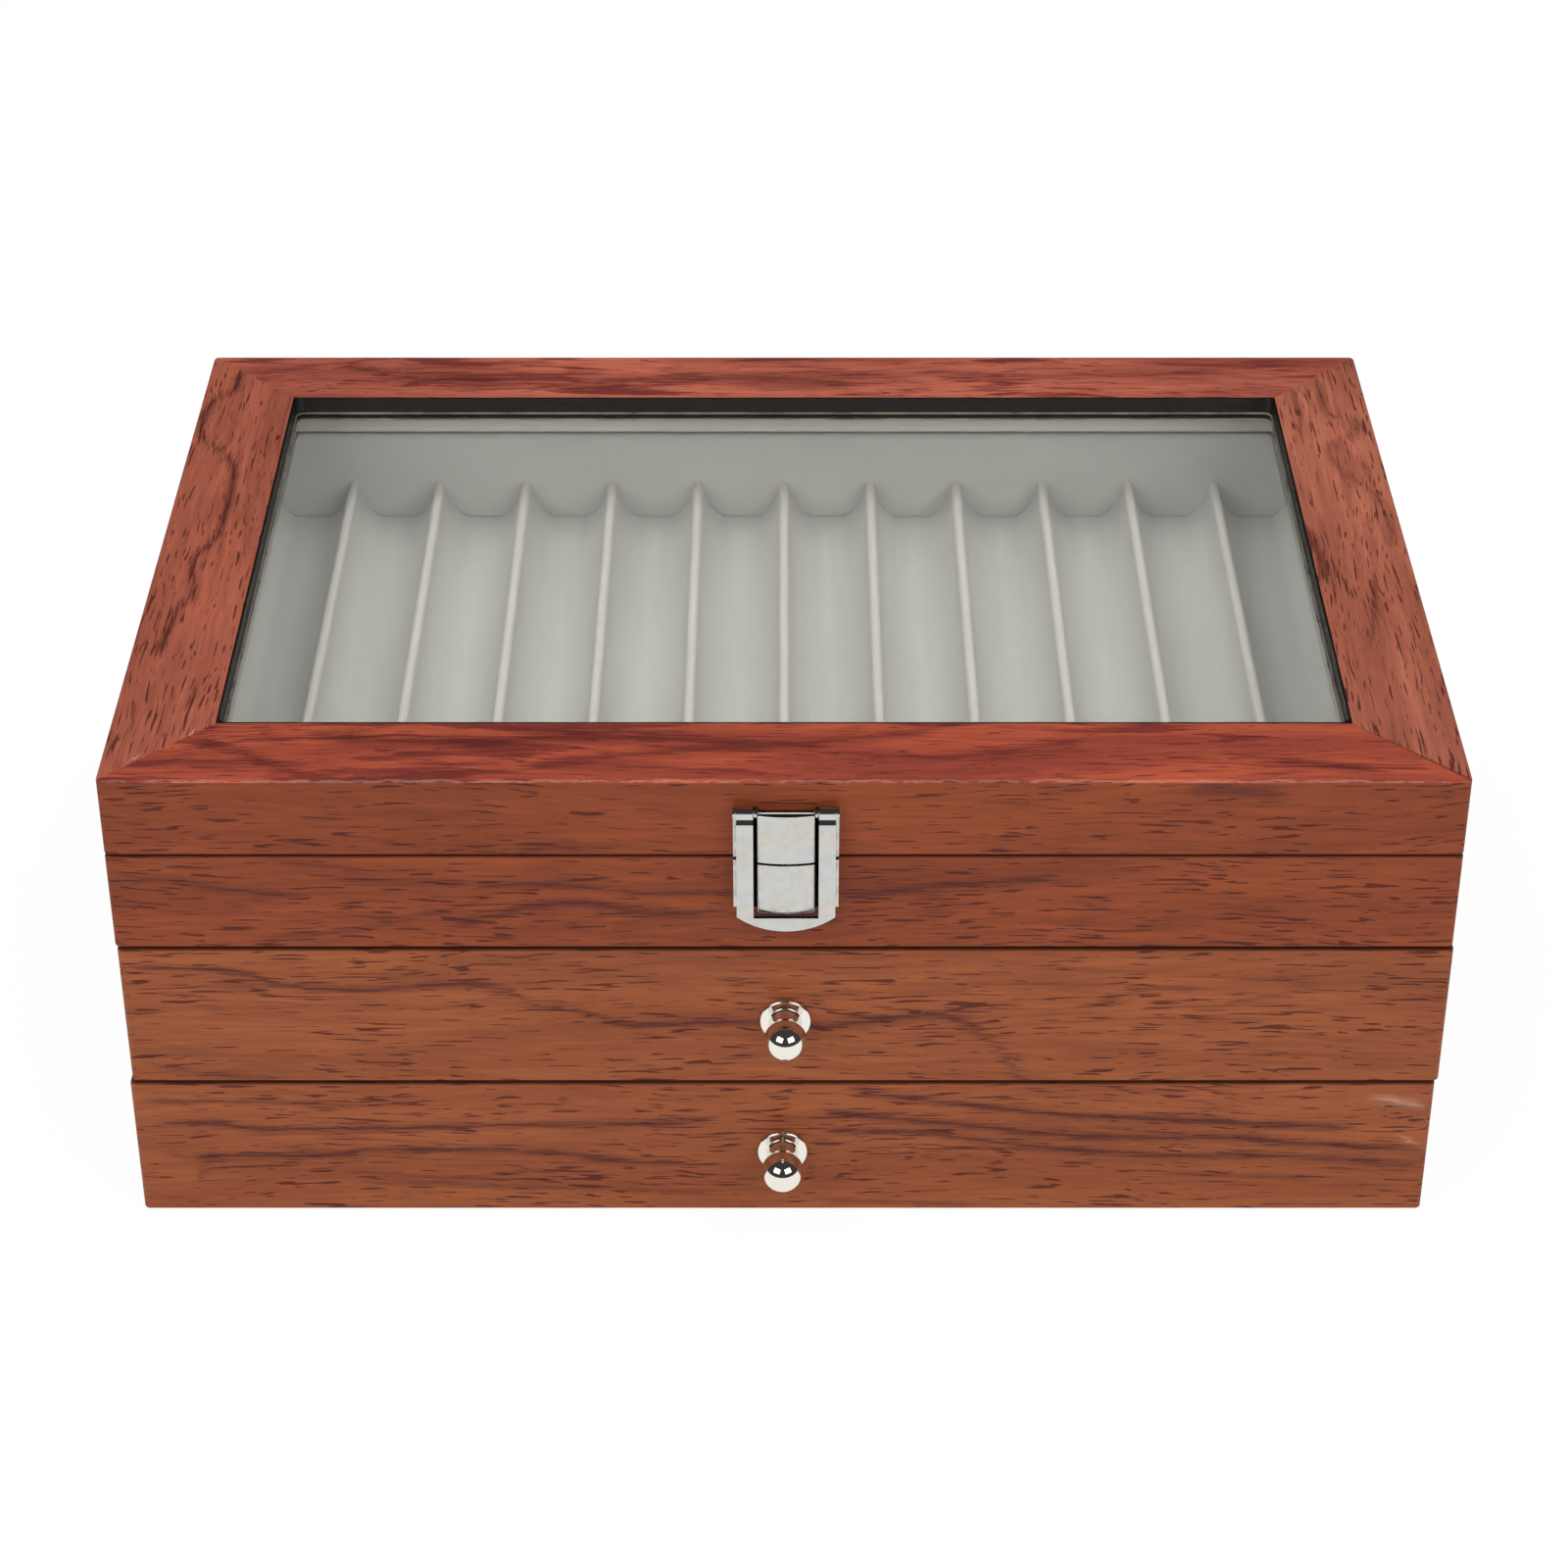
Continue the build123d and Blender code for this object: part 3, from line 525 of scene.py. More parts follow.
def painted(nodes, colour, place, strokes, along, across, ink, feather):
    """A colour with a set of veins, nicks or strokes of painted shade laid over it, feathered along the
    grain.
    """
    if not strokes:
        return colour
    group = bpy.data.node_groups.get("Feathered Stroke") or stroke_group()
    spot = nodes.split(place)
    flat = nodes.joined(spot[along], spot[across])
    rows = nodes.cloud(flat, (0.03, 1.1, 1.0), detail=4.0, roughness=0.75)
    slid = nodes.plus(spot[along], nodes.drift(rows, feather))
    for width, halo, strength, points in strokes:
        inputs = {
            "Along": slid,
            "Across": spot[across],
            "Centre": path_centre(nodes, slid, points),
            "Start": float(points[0][0]),
            "End": float(points[-1][0]),
            "Width": width,
            "Halo": halo,
        }
        mask = nodes.group(group, inputs)["Mask"]
        colour = nodes.blend(nodes.times(mask, strength), colour, ink)
    return colour


def gap_edge_shaded(nodes, colour, place, node_name):
    """A colour with painted shade along those edges of a board that meet the gaps between parts."""
    low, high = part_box(node_name)
    level = nodes.split(place)["Z"]
    for side in GAP_SHADED_EDGES.get(node_name, ()):
        if side == "low":
            gap = nodes.minus(level, low.z / MM)
        else:
            gap = nodes.minus(high.z / MM, level)
        colour = nodes.blend(nodes.ramp(gap, 0.1, 0.6, 0.7, 0.0), colour, GAP_EDGE_SHADE)
    return colour


def veneer(node_name, colour, dark, seed, along="X", across="Z", ink=VEIN_AND_SHADE_INK, **figure_values):
    """The material of one veneer, whose grain runs along one axis and shows across another."""
    group = bpy.data.node_groups.get("Veneer Figure") or wood_figure_group()
    material, nodes, shader, place = new_material(f"rosewood_{node_name}")
    turn = math.pi / 2 if along == "Y" else 0.0
    turned = nodes.add("Mapping", {"Vector": place, "Rotation": (0.0, 0.0, turn)}).outputs[0]
    values = {"Swirl": 14.0, "Flame": 0.45, "Veins": 0.6, "Pores": 1.0, **figure_values}
    inputs = {"Vector": nodes.moved(turned, seed), "Light": colour, "Dark": dark, "Vein": ink}
    figure = nodes.group(group, {**inputs, **values})
    shade = figure["Color"]
    for strokes, paint, feather in ((VEINS_AND_SHADE, ink, VEIN_FEATHER), (NICKS, NICK_INK, NICK_FEATHER)):
        rows = strokes.get(node_name)
        shade = painted(nodes, shade, place, rows, along, across, paint, feather)
    finish = {
        "Base Color": gap_edge_shaded(nodes, shade, place, node_name),
        "Roughness": nodes.plus(figure["Polish"], bpy.context.scene.pen_chest_wood.roughness),
        "Specular IOR Level": 0.2,
        "Normal": nodes.bump(figure["Height"], 0.05, 0.6),
    }
    nodes.feed(shader, finish)
    return material


def board_material():
    """Pressed board with a dark stain, as inside the case and the drawers."""
    material, nodes, shader, place = new_material("stained_board")
    flecks = nodes.cloud(place, (0.6, 0.6, 0.6), detail=5.0, roughness=0.7)
    patches = nodes.cloud(place, (0.02, 0.02, 0.02))
    colour = nodes.blend(nodes.ramp(flecks, 0.35, 0.65), tint(96, 62, 44), tint(132, 92, 66))
    colour = nodes.blend(nodes.ramp(patches, 0.3, 0.7), colour, tint(104, 68, 48))
    bump = nodes.bump(flecks, 0.05, 0.5)
    nodes.feed(shader, {"Base Color": colour, "Roughness": 0.7, "Normal": bump})
    return material


def dress(node_name, material):
    """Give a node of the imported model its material."""
    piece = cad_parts[node_name]
    if not piece.material_slots:
        piece.data.materials.append(material)
    for slot in piece.material_slots:
        slot.material = material


class PENCHEST_OT_wood(bpy.types.Operator):
    """Veneer the lid, the case and the drawer fronts, and finish the hidden boards"""

    bl_idname = "pen_chest.wood"
    bl_label = "Wood"

    def execute(self, context):
        wood = context.scene.pen_chest_wood
        red = {"Flame": 0.9, "Swirl": 18.0, "Veins": 0.4, "Pores": 0.8, "Feather": 50.0}
        for side, colour, seed in (
            ("front", wood.top_colour, (0.0, 0.0, 0.0)),
            ("back", wood.back_colour, (410.0, 37.0, 9.0)),
        ):
            name = f"lid_veneer_{side}"
            dress(name, veneer(name, colour, tint(112, 44, 40), seed, "X", "Y", tint(86, 32, 32), **red))
        brown = {"Flame": 0.5, "Swirl": 16.0}
        for side, colour, seed in (
            ("left", wood.left_colour, (130.0, 90.0, 0.0)),
            ("right", wood.right_colour, (733.0, 14.0, 0.0)),
        ):
            boards = {f"lid_veneer_{side}": "X", f"lid_{side}_wall": "Z", f"{side}_side_panel": "Z"}
            for name, across in boards.items():
                dress(name, veneer(name, colour, tint(132, 66, 50), seed, "Y", across, **brown))
        for name, colour, seed, dark in (
            ("lid_front_wall", wood.band_colour, (21.0, 5.0, 300.0), tint(112, 54, 34)),
            ("upper_front_band", wood.band_colour, (950.0, 5.0, 40.0), tint(108, 50, 34)),
            ("lid_back_wall", wood.band_colour, (333.0, 0.0, 80.0), tint(108, 52, 38)),
            ("back_panel", wood.band_colour, (333.0, 0.0, 80.0), tint(108, 52, 38)),
            ("upper_drawer_front", wood.front_colour, (512.0, 0.0, 11.0), tint(128, 66, 42)),
            ("lower_drawer_front", wood.front_colour, (91.0, 0.0, 620.0), tint(132, 67, 42)),
        ):
            dress(name, veneer(name, colour, dark, seed))
        board = board_material()
        for drawer in ("upper", "lower"):
            for piece in ("left_side", "right_side", "back", "bottom"):
                dress(f"{drawer}_drawer_{piece}", board)
        for name in ("bottom_panel", "drawer_shelf", "tray_deck"):
            dress(name, board)
        return {"FINISHED"}


# ---------- meshes ----------
def finish_piece(name, mesh, body, material, replaced=(), smooth_angle=40.0):
    """Turn a bmesh into a piece that rides on a body and stands for some nodes."""
    bmesh.ops.remove_doubles(mesh, verts=mesh.verts, dist=1e-7)
    bmesh.ops.recalc_face_normals(mesh, faces=mesh.faces)
    data = bpy.data.meshes.new(name)
    mesh.to_mesh(data)
    mesh.free()
    for face in data.polygons:
        face.use_smooth = True
    data.set_sharp_from_angle(angle=math.radians(smooth_angle))
    data.materials.append(material)
    piece = bpy.data.objects.new(name, data)
    bpy.context.scene.collection.objects.link(piece)
    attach(piece, body)
    if replaced:
        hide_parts(*replaced)
    return piece


def merged_mesh(node_name):
    """A copy of a node's loose triangles, joined."""
    mesh = bmesh.new()
    mesh.from_mesh(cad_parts[node_name].data)
    bmesh.ops.remove_doubles(mesh, verts=mesh.verts, dist=1e-6)
    return mesh


def round_edges(mesh, edges, radius, segments):
    bmesh.ops.bevel(
        mesh,
        geom=list(edges),
        offset=radius,
        offset_type="OFFSET",
        affect="EDGES",
        segments=segments,
        profile=0.5,
        material=-1,
        clamp_overlap=True,
    )


def upright_edges(mesh):
    return [edge for edge in mesh.edges if abs(edge.verts[0].co.z - edge.verts[1].co.z) > SMALL]


def rim_edges(mesh):
    """The edges between a flat end and an upright wall."""
    steep = math.radians(60)
    return [edge for edge in mesh.edges if len(edge.link_faces) == 2 and edge.calc_face_angle(0.0) > steep]


def level_edges(edges, z):
    """Those edges that lie at one level."""
    return [edge for edge in edges if all(abs(vert.co.z - z) < SMALL for vert in edge.verts)]


def block_matrix(low, high):
    """What turns a cube of size 1 into a box between two corners."""
    low = Vector(low)
    high = Vector(high)
    return Matrix.Translation((high + low) / 2) @ Matrix.Diagonal((*(high - low), 1.0))


def add_ring(mesh, low, high, width, corner=0.0):
    """A rectangular ring, open along Z, with an equal width all round and, if asked, rounded corners."""
    bmesh.ops.create_cube(mesh, size=1.0, matrix=block_matrix(low, high))
    if corner:
        round_edges(mesh, upright_edges(mesh), corner, 6)
    ends = [face for face in mesh.faces if abs(face.normal.z) > 0.9]
    for face in ends:
        bmesh.ops.inset_region(mesh, faces=[face], thickness=width, use_even_offset=True)
    loops = [edge for face in ends for edge in face.edges]
    bmesh.ops.delete(mesh, geom=ends, context="FACES_ONLY")
    bmesh.ops.bridge_loops(mesh, edges=loops)


# ---------- velvet ----------
def flock_group():
    """Flock: a fine nap, soft handling marks and pale specks of dust."""
    nodes, given, result = new_group(
        "Flock",
        {"Vector": Vector(), "Base": (0.5, 0.5, 0.5), "Specks": 0.5},
        {"Color": "Color", "Height": "Float"},
    )
    place = given["Vector"]
    nap = nodes.cloud(place, (4.0, 4.0, 4.0), detail=3.0, roughness=0.8)
    marks = nodes.cloud(place, (0.03, 0.012, 0.05), detail=3.0)
    tone = nodes.plus(nodes.ramp(nap, 0.3, 0.7, -0.035, 0.035), nodes.ramp(marks, 0.3, 0.7, 0.97, 1.03))
    speck = nodes.ramp(nodes.cells(place, 0.11), 0.010, 0.022, 1.0, 0.0)
    speck = nodes.times(speck, given["Specks"])
    colour = nodes.blend(speck, nodes.shaded(given["Base"], tone), tint(236, 234, 228))
    nodes.feed(result, {"Color": colour, "Height": nap})
    return nodes.tree


SEAM_LOW = 11.0
SEAM_HIGH = 8.0


def velvet_material(name, colour, specks, crown=None, ends=()):
    """Flocked board; crown is the level of the ridges' tops, which are painted paler as painted light.

    The troughs get painted shade in the seams at their ends, which are places along Y.
    """
    group = bpy.data.node_groups.get("Flock") or flock_group()
    material, nodes, shader, place = new_material(name)
    flock = nodes.group(group, {"Vector": place, "Base": colour, "Specks": specks})
    shade = flock["Color"]
    spot = nodes.split(place)
    if crown is not None:
        # painted highlight: the ridges' tops turn paler, in patches
        patches = nodes.cloud(place, (0.6, 0.25, 0.6), detail=3.0)
        crown_light = nodes.ramp(spot["Z"], crown - 2.2, crown - 0.4)
        crown_light = nodes.times(crown_light, nodes.ramp(patches, 0.3, 0.7, 0.35, 0.8))
        shade = nodes.blend(crown_light, shade, tint(190, 182, 174))
    # painted shade in the seams where the troughs meet the end linings
    for end in ends:
        near = nodes.ramp(nodes.apart(spot["Y"], end), 0.1, 0.7, 0.7, 0.0)
        under = nodes.ramp(spot["Z"], crown - SEAM_LOW, crown - SEAM_HIGH, 1.0, 0.0)
        shade = nodes.blend(nodes.times(near, under), shade, tint(78, 76, 73))
    finish = {
        "Base Color": shade,
        "Roughness": 0.95,
        "Specular IOR Level": 0.15,
        "Sheen Weight": 0.12,
        "Sheen Roughness": 0.5,
        "Normal": nodes.bump(flock["Height"], 0.12, 0.5),
    }
    nodes.feed(shader, finish)
    return material


TROUGH_WIDTH = 10.0 * MM
RIDGE_TOP = 2.8 * MM
FLANK_HOLLOW = 1.7 * MM
RIDGE_STEPS = 7
CROWN_STEPS = 6
TRAY_CUTS = 14


def ridge_side(pitch, height):
    """Half of a ridge's outline, from the middle of its crown down to its foot, as (x, z)."""
    radius = RIDGE_TOP / 2
    shoulder = Vector((radius, height - radius))
    foot = Vector(((pitch - TROUGH_WIDTH) / 2, 0.0))
    run = foot - shoulder
    inward = Vector((run.y, -run.x)).normalized() * FLANK_HOLLOW
    if inward.y > 0:
        inward = -inward
    points = []
    for step in range(CROWN_STEPS):
        angle = math.pi / 2 * step / CROWN_STEPS
        points.append((radius * math.sin(angle), height - radius + radius * math.cos(angle)))
    for step in range(RIDGE_STEPS + 1):
        share = step / RIDGE_STEPS
        sag = 4 * share * (1 - share)
        points.append(tuple(shoulder + run * share + inward * sag))
    return points


def add_tray(mesh, low, high, slots, top):
    """A flocked tray: one body whose top rolls over every ridge, from side to side."""
    x_half = (high.x - low.x) / 2
    x_shift = (high.x + low.x) / 2
    pitch = 2 * x_half / slots
    side = [(x, high.z + z) for x, z in ridge_side(pitch, top - high.z)]
    outline = [(x_half, low.z), (-x_half, low.z)]
    outline += [(-x_half + x, z) for x, z in side]
    for index in range(1, slots):
        centre = -x_half + index * pitch
        outline += [(centre - x, z) for x, z in reversed(side)]
        outline += [(centre + x, z) for x, z in side[1:]]
    outline += [(x_half - x, z) for x, z in reversed(side)]
    section = mesh.faces.new([mesh.verts.new((x + x_shift, low.y, z)) for x, z in outline])
    grown = bmesh.ops.extrude_face_region(mesh, geom=[section])["geom"]
    moved = [item for item in grown if isinstance(item, bmesh.types.BMVert)]
    bmesh.ops.translate(mesh, verts=moved, vec=(0.0, high.y - low.y, 0.0))
    for step in range(1, TRAY_CUTS):
        y = low.y + (high.y - low.y) * step / TRAY_CUTS
        everything = [*mesh.verts, *mesh.edges, *mesh.faces]
        bmesh.ops.bisect_plane(mesh, geom=everything, plane_co=(0.0, y, 0.0), plane_no=(0.0, 1.0, 0.0))


NOISE_SEED = 1


def unsettle(mesh, amount, floor):
    """Stray from true, as flocked board does: a little, smoothly, and not where the tray rests."""
    noise.seed_set(NOISE_SEED)
    for vert in mesh.verts:
        if vert.co.z > floor + MM:
            drift = noise.noise_vector(vert.co * 45.0) * amount
            vert.co.x += drift.x
            vert.co.z += drift.z


class PENCHEST_OT_trays(bpy.types.Operator):
    """Flock the tray of the top compartment and the trays of both drawers"""

    bl_idname = "pen_chest.trays"
    bl_label = "Pen trays"

    def execute(self, context):
        cloth = context.scene.pen_chest_cloth
        for name, body, slots in (
            ("upper_tray", "case", 12),
            ("upper_drawer_tray", "upper_drawer", 11),
            ("lower_drawer_tray", "lower_drawer", 11),
        ):
            nodes = (f"{name}_board", f"{name}_ridges")
            low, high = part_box(nodes[0])
            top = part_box(nodes[1])[1].z
            mesh = bmesh.new()
            add_tray(mesh, low, high, slots, top)
            unsettle(mesh, cloth.unevenness, high.z)
            ends = (low.y / MM, high.y / MM)
            material = velvet_material(f"flock_{name}", cloth.tray_colour, 0.6, top / MM, ends)
            finish_piece(f"{name}_flock", mesh, body, material, nodes, 50.0)
        return {"FINISHED"}


LINING_THICKNESS = 5.2 * MM


class PENCHEST_OT_linings(bpy.types.Operator):
    """Flock the lining boards of the case, the lid and the drawers"""

    bl_idname = "pen_chest.linings"
    bl_label = "Linings"

    def execute(self, context):
        cloth = context.scene.pen_chest_cloth
        grey = velvet_material("flock_lining", cloth.tray_colour, 0.9)
        # painted light: the lid lining uses the paler colour to offset the frame's shade
        pale = velvet_material("flock_lid_lining", cloth.lid_lightened_colour, 0.9)
        sides = ("front", "back", "left", "right")
        for name, body, nodes, material in (
            ("box_lining", "case", [f"box_lining_{side}" for side in sides], grey),
            ("lid_lining", "lid", [f"lid_lining_{side}" for side in sides], pale),
            ("upper_drawer_lining", "upper_drawer", ["upper_drawer_lining"], grey),
            ("lower_drawer_lining", "lower_drawer", ["lower_drawer_lining"], grey),
        ):
            lows, highs = zip(*(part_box(node_name) for node_name in nodes))
            low = Vector([min(corner[axis] for corner in lows) for axis in range(3)])
            high = Vector([max(corner[axis] for corner in highs) for axis in range(3)])
            mesh = bmesh.new()
            add_ring(mesh, low, high, LINING_THICKNESS)
            soft = low.z if body == "lid" else high.z
            round_edges(mesh, level_edges(rim_edges(mesh), soft), cloth.edge_softness, 4)
            finish_piece(f"{name}_flock", mesh, body, material, nodes)
        return {"FINISHED"}


FELT_CORNER = 2.0 * MM
FELT_EDGE = 0.25 * MM


class PENCHEST_OT_felt(bpy.types.Operator):
    """Lay the felt under the chest"""

    bl_idname = "pen_chest.felt"
    bl_label = "Underside felt"

    def execute(self, context):
        low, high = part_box("underside_felt")
        mesh = bmesh.new()
        bmesh.ops.create_cube(mesh, size=1.0, matrix=block_matrix(low, high))
        round_edges(mesh, upright_edges(mesh), FELT_CORNER, 4)
        round_edges(mesh, level_edges(rim_edges(mesh), low.z), FELT_EDGE, 2)
        material = velvet_material("felt_underside", context.scene.pen_chest_cloth.felt_colour, 0.0)
        felt = finish_piece("underside_felt_cloth", mesh, "case", material, ("underside_felt",))
        return {"FINISHED"}


# ---------- window ----------
def black_material():
    """Satin black edging, with fine brushed dust."""
    material, nodes, shader, place = new_material("black_edging")
    dust = nodes.cloud(place, (0.35, 0.35, 1.2), detail=4.0, roughness=0.75)
    finish = {
        "Base Color": nodes.blend(nodes.ramp(dust, 0.45, 0.75), tint(13, 11, 9), tint(30, 26, 22)),
        "Roughness": nodes.ramp(dust, 0.3, 0.7, 0.4, 0.6),
        "Normal": nodes.bump(dust, 0.03, 0.4),
    }
    nodes.feed(shader, finish)
    return material


def bead_and_highlight_material():
    """Pale rings round the window: on the glass at its black seat, partly a sealant bead and partly a
    painted glint, and under the lower lip, a painted highlight on its bottom arris.
    """
    material, nodes, shader, place = new_material("glass_bead_and_highlight")
    patches = nodes.cloud(place, (0.12, 0.12, 0.12), detail=4.0)
    shade = nodes.ramp(patches, 0.35, 0.65)
    finish = {
        "Base Color": nodes.blend(shade, tint(112, 104, 92), tint(144, 137, 124)),
        "Roughness": nodes.ramp(patches, 0.3, 0.7, 0.25, 0.45),
    }
    nodes.feed(shader, finish)
    return material


def glass_material():
    """Clear float glass with faint smears; lamps reach what lies under it."""
    material, nodes, shader, place = new_material("window_glass")
    smears = nodes.cloud(place, (0.02, 0.05, 0.05), detail=4.0)
    finish = {
        "Base Color": (0.97, 0.98, 0.97),
        "Transmission Weight": 1.0,
        "IOR": 1.47,
        "Roughness": nodes.ramp(smears, 0.55, 0.8, 0.0, 0.03),
    }
    nodes.feed(shader, finish)
    clear = nodes.add("BsdfTransparent", {"Color": (0.92, 0.93, 0.92)})
    in_shadow = nodes.add("LightPath").outputs["Is Shadow Ray"]
    show_shader(material, nodes.mix_shaders(in_shadow, shader.outputs[0], clear.outputs[0]))
    return material


RING_WIDTH = 0.45 * MM
RING_HEIGHT = 0.5 * MM
RING_EDGE = 0.14 * MM
WINDOW_CORNER = 2.5 * MM
TRIM_THICKNESS = 0.6 * MM


class PENCHEST_OT_window(bpy.types.Operator):
    """Glaze the lid: black edging, glass, and two pale rings along its edge, a bead that is partly a painted
    glint and a painted highlight
    """

    bl_idname = "pen_chest.window"
    bl_label = "Window"

    def execute(self, context):
        black = black_material()
        dress("window_edge_trim", black)
        dress("lid_frame_rails", black)
        dress("glass_pane", glass_material())
        bead_and_highlight = bead_and_highlight_material()
        low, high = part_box("window_edge_trim")
        wall = Vector((TRIM_THICKNESS, TRIM_THICKNESS, 0.0))
        for name, z in (
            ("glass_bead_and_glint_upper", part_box("glass_pane")[1].z),
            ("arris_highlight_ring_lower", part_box("lid_frame_rails")[0].z),
        ):
            ring_low = low + wall
            ring_high = high - wall
            ring_low.z = z
            ring_high.z = z + RING_HEIGHT
            mesh = bmesh.new()
            add_ring(mesh, ring_low, ring_high, RING_WIDTH, WINDOW_CORNER)
            round_edges(mesh, rim_edges(mesh), RING_EDGE, 2)
            finish_piece(name, mesh, "lid", bead_and_highlight)
        return {"FINISHED"}


# ---------- metal ----------
def tarnish_group():
    """Plated metal: cloudy patches, fine hazy wipes and small dark pits."""
    nodes, given, result = new_group(
        "Plate Tarnish",
        {"Vector": Vector(), "Base": (0.8, 0.8, 0.75), "Cloudiness": 0.5, "Haze": 0.1},
        {"Color": "Color", "Roughness": "Float", "Height": "Float"},
    )
    place = given["Vector"]
    base = given["Base"]
    clouds = nodes.cloud(place, (0.15, 0.15, 0.15))
    warm = nodes.blend(0.4, base, tint(206, 196, 170))
    cool = nodes.blend(0.4, base, tint(196, 206, 218))
    tinted = nodes.blend(nodes.ramp(clouds, 0.35, 0.65), warm, cool)
    pit = nodes.ramp(nodes.cells(place, 0.55), 0.03, 0.09, 1.0, 0.0)
    rare = nodes.ramp(nodes.cloud(place, (0.5, 0.5, 0.5)), 0.62, 0.67)
    pit = nodes.times(nodes.times(pit, rare), 0.5)
    wipes = nodes.ramp(nodes.cloud(place, (0.4, 0.4, 0.4)), 0.3, 0.7, 0.6, 1.4)
    colour = nodes.blend(given["Cloudiness"], base, tinted)
    finish = {
        "Color": nodes.blend(pit, colour, tint(70, 62, 52)),
        "Roughness": nodes.times(wipes, given["Haze"]),
        "Height": nodes.minus(clouds, pit),
    }
    nodes.feed(result, finish)
    return nodes.tree


def edge_highlight_mask(nodes):
    """Where a face is tilted away from every axis, as the rounded edges of a stamped plate are."""
    normal = nodes.add("VectorMath", {0: nodes.own("Normal")}, operation="ABSOLUTE").outputs[0]
    parts = nodes.split(normal)
    largest = nodes.larger(nodes.larger(parts[0], parts[1]), parts[2])
    return nodes.ramp(largest, 0.86, 0.96, 1.0, 0.0)


# Sizes of the latch in millimetres, for the painted shade in its gaps and its bright rolls.
LATCH_WINDOW_HALF = 8.3
LATCH_UPPER_TOP = 128.8
BOSS_HALF = 7.2
ROLL_REACH = 3.4


def gap_shade_mask(nodes, place):
    """Painted shade in the narrow gaps of the latch, between its frame and its bosses, and on the faces
    there that look up.
    """
    spot = nodes.split(place)
    normal = nodes.split(nodes.own("Normal"))
    low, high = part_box("latch_hasp")
    sideways = nodes.apart(spot["X"], (low.x + high.x) / 2 / MM)
    within = nodes.ramp(sideways, LATCH_WINDOW_HALF, LATCH_WINDOW_HALF + 0.15, 1.0, 0.0)
    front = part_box("latch_base_plate")[0].y / MM
    below = nodes.ramp(spot["Z"], LATCH_UPPER_TOP - 1.5, LATCH_UPPER_TOP - 0.5, 1.0, 0.0)
    deep = nodes.times(nodes.ramp(spot["Y"], front + 0.9, front + 1.5), below)
    side_wall = nodes.ramp(nodes.maths("ABSOLUTE", normal["X"]), 0.8, 0.95)
    top_wall = nodes.ramp(normal["Z"], 0.8, 0.95)
    wall = nodes.larger(side_wall, nodes.times(top_wall, below))
    shelf = nodes.times(top_wall, 0.93)
    return nodes.times(within, nodes.larger(nodes.larger(deep, wall), shelf))


def roll_mask(nodes, place, pins):
    """The rolled metal round a hinge pin, which is brighter polished than the flats beside it."""
    low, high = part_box(pins)
    middle = (low + high) / 2 / MM
    spot = nodes.split(place)
    forward = nodes.minus(spot["Y"], middle.y)
    upward = nodes.minus(spot["Z"], middle.z)
    squares = nodes.plus(nodes.times(forward, forward), nodes.times(upward, upward))
    near = nodes.ramp(nodes.maths("SQRT", squares), ROLL_REACH - 0.2, ROLL_REACH, 1.0, 0.0)
    beside = nodes.ramp(nodes.apart(spot["X"], middle.x), BOSS_HALF - 0.1, BOSS_HALF)
    return nodes.times(near, beside)


def nickel_material(name, base, cloudiness, haze, bump, pins=None):
    """Plated metal; a stamped fitting with pins has a painted highlight on its rounded edges and, on the
    latch, painted shade in its gaps.
    """
    group = bpy.data.node_groups.get("Plate Tarnish") or tarnish_group()
    material, nodes, shader, place = new_material(name)
    inputs = {"Vector": place, "Base": base, "Cloudiness": cloudiness, "Haze": haze}
    plate = nodes.group(group, inputs)
    colour = plate["Color"]
    rough = plate["Roughness"]
    metallic = 1.0
    if pins:
        roll = roll_mask(nodes, place, pins)
        edge = nodes.times(edge_highlight_mask(nodes), nodes.minus(1.0, roll))
        gap_shade = gap_shade_mask(nodes, place)
        # painted highlight: the rounded edges turn near white, rougher and partly unmetallic
        colour = nodes.blend(edge, colour, tint(250, 248, 242))
        # painted shade: the latch's gaps, and the upward faces in them, turn near black
        colour = nodes.blend(gap_shade, colour, tint(14, 11, 9))
        for mask, value in ((roll, 0.1), (edge, 0.5), (gap_shade, 0.6)):
            rough = nodes.blend_values(mask, rough, value)
        metallic = nodes.blend_values(edge, 1.0, 0.35)
    finish = {
        "Base Color": colour,
        "Metallic": metallic,
        "Roughness": rough,
        "Normal": nodes.bump(plate["Height"], bump, 0.5),
    }
    nodes.feed(shader, finish)
    return material


def edged_copy(node_name, body, material, radius):
    """A node's shape with its hard edges rounded; it stands for the node."""
    mesh = merged_mesh(node_name)
    bmesh.ops.dissolve_limit(mesh, angle_limit=math.radians(2), verts=mesh.verts, edges=mesh.edges)
    name = f"{node_name}_plated"
    piece = finish_piece(name, mesh, body, material, (node_name,), 35.0)
    bevel = piece.modifiers.new("rounded_edges", "BEVEL")
    bevel.width = radius
    bevel.segments = 2
    bevel.limit_method = "ANGLE"
    bevel.angle_limit = math.radians(35)
    bevel.harden_normals = True


def solid_boxes(node_name):
    """The lowest and highest corners of each separate solid of a node."""
    mesh = merged_mesh(node_name)
    left = set(mesh.verts)
    boxes = []
    while left:
        island = []
        front = [left.pop()]
        while front:
            vert = front.pop()
            island.append(vert.co)
            linked = {edge.other_vert(vert) for edge in vert.link_edges} & left
            left -= linked
            front += linked
        low = Vector([min(place[axis] for place in island) for axis in range(3)])
        high = Vector([max(place[axis] for place in island) for axis in range(3)])
        boxes.append((low, high))
    mesh.free()
    return sorted(boxes, key=lambda box: (round(box[0].x, 4), box[0].z))


# A screw's cross, the crown of its head and its shank, as shares of its radius; the depth is a length.
CROSS_ARM = 0.22
CROSS_REACH = 0.62
CROSS_DEPTH = 0.45 * MM
HEAD_DOME = 0.16
SHANK_SHARE = 0.6
# How far the screw has come, as a share of its length, and how wide it is there.
SCREW_RINGS = ((0.11, 1.0), (0.14, SHANK_SHARE), (1.0, SHANK_SHARE))


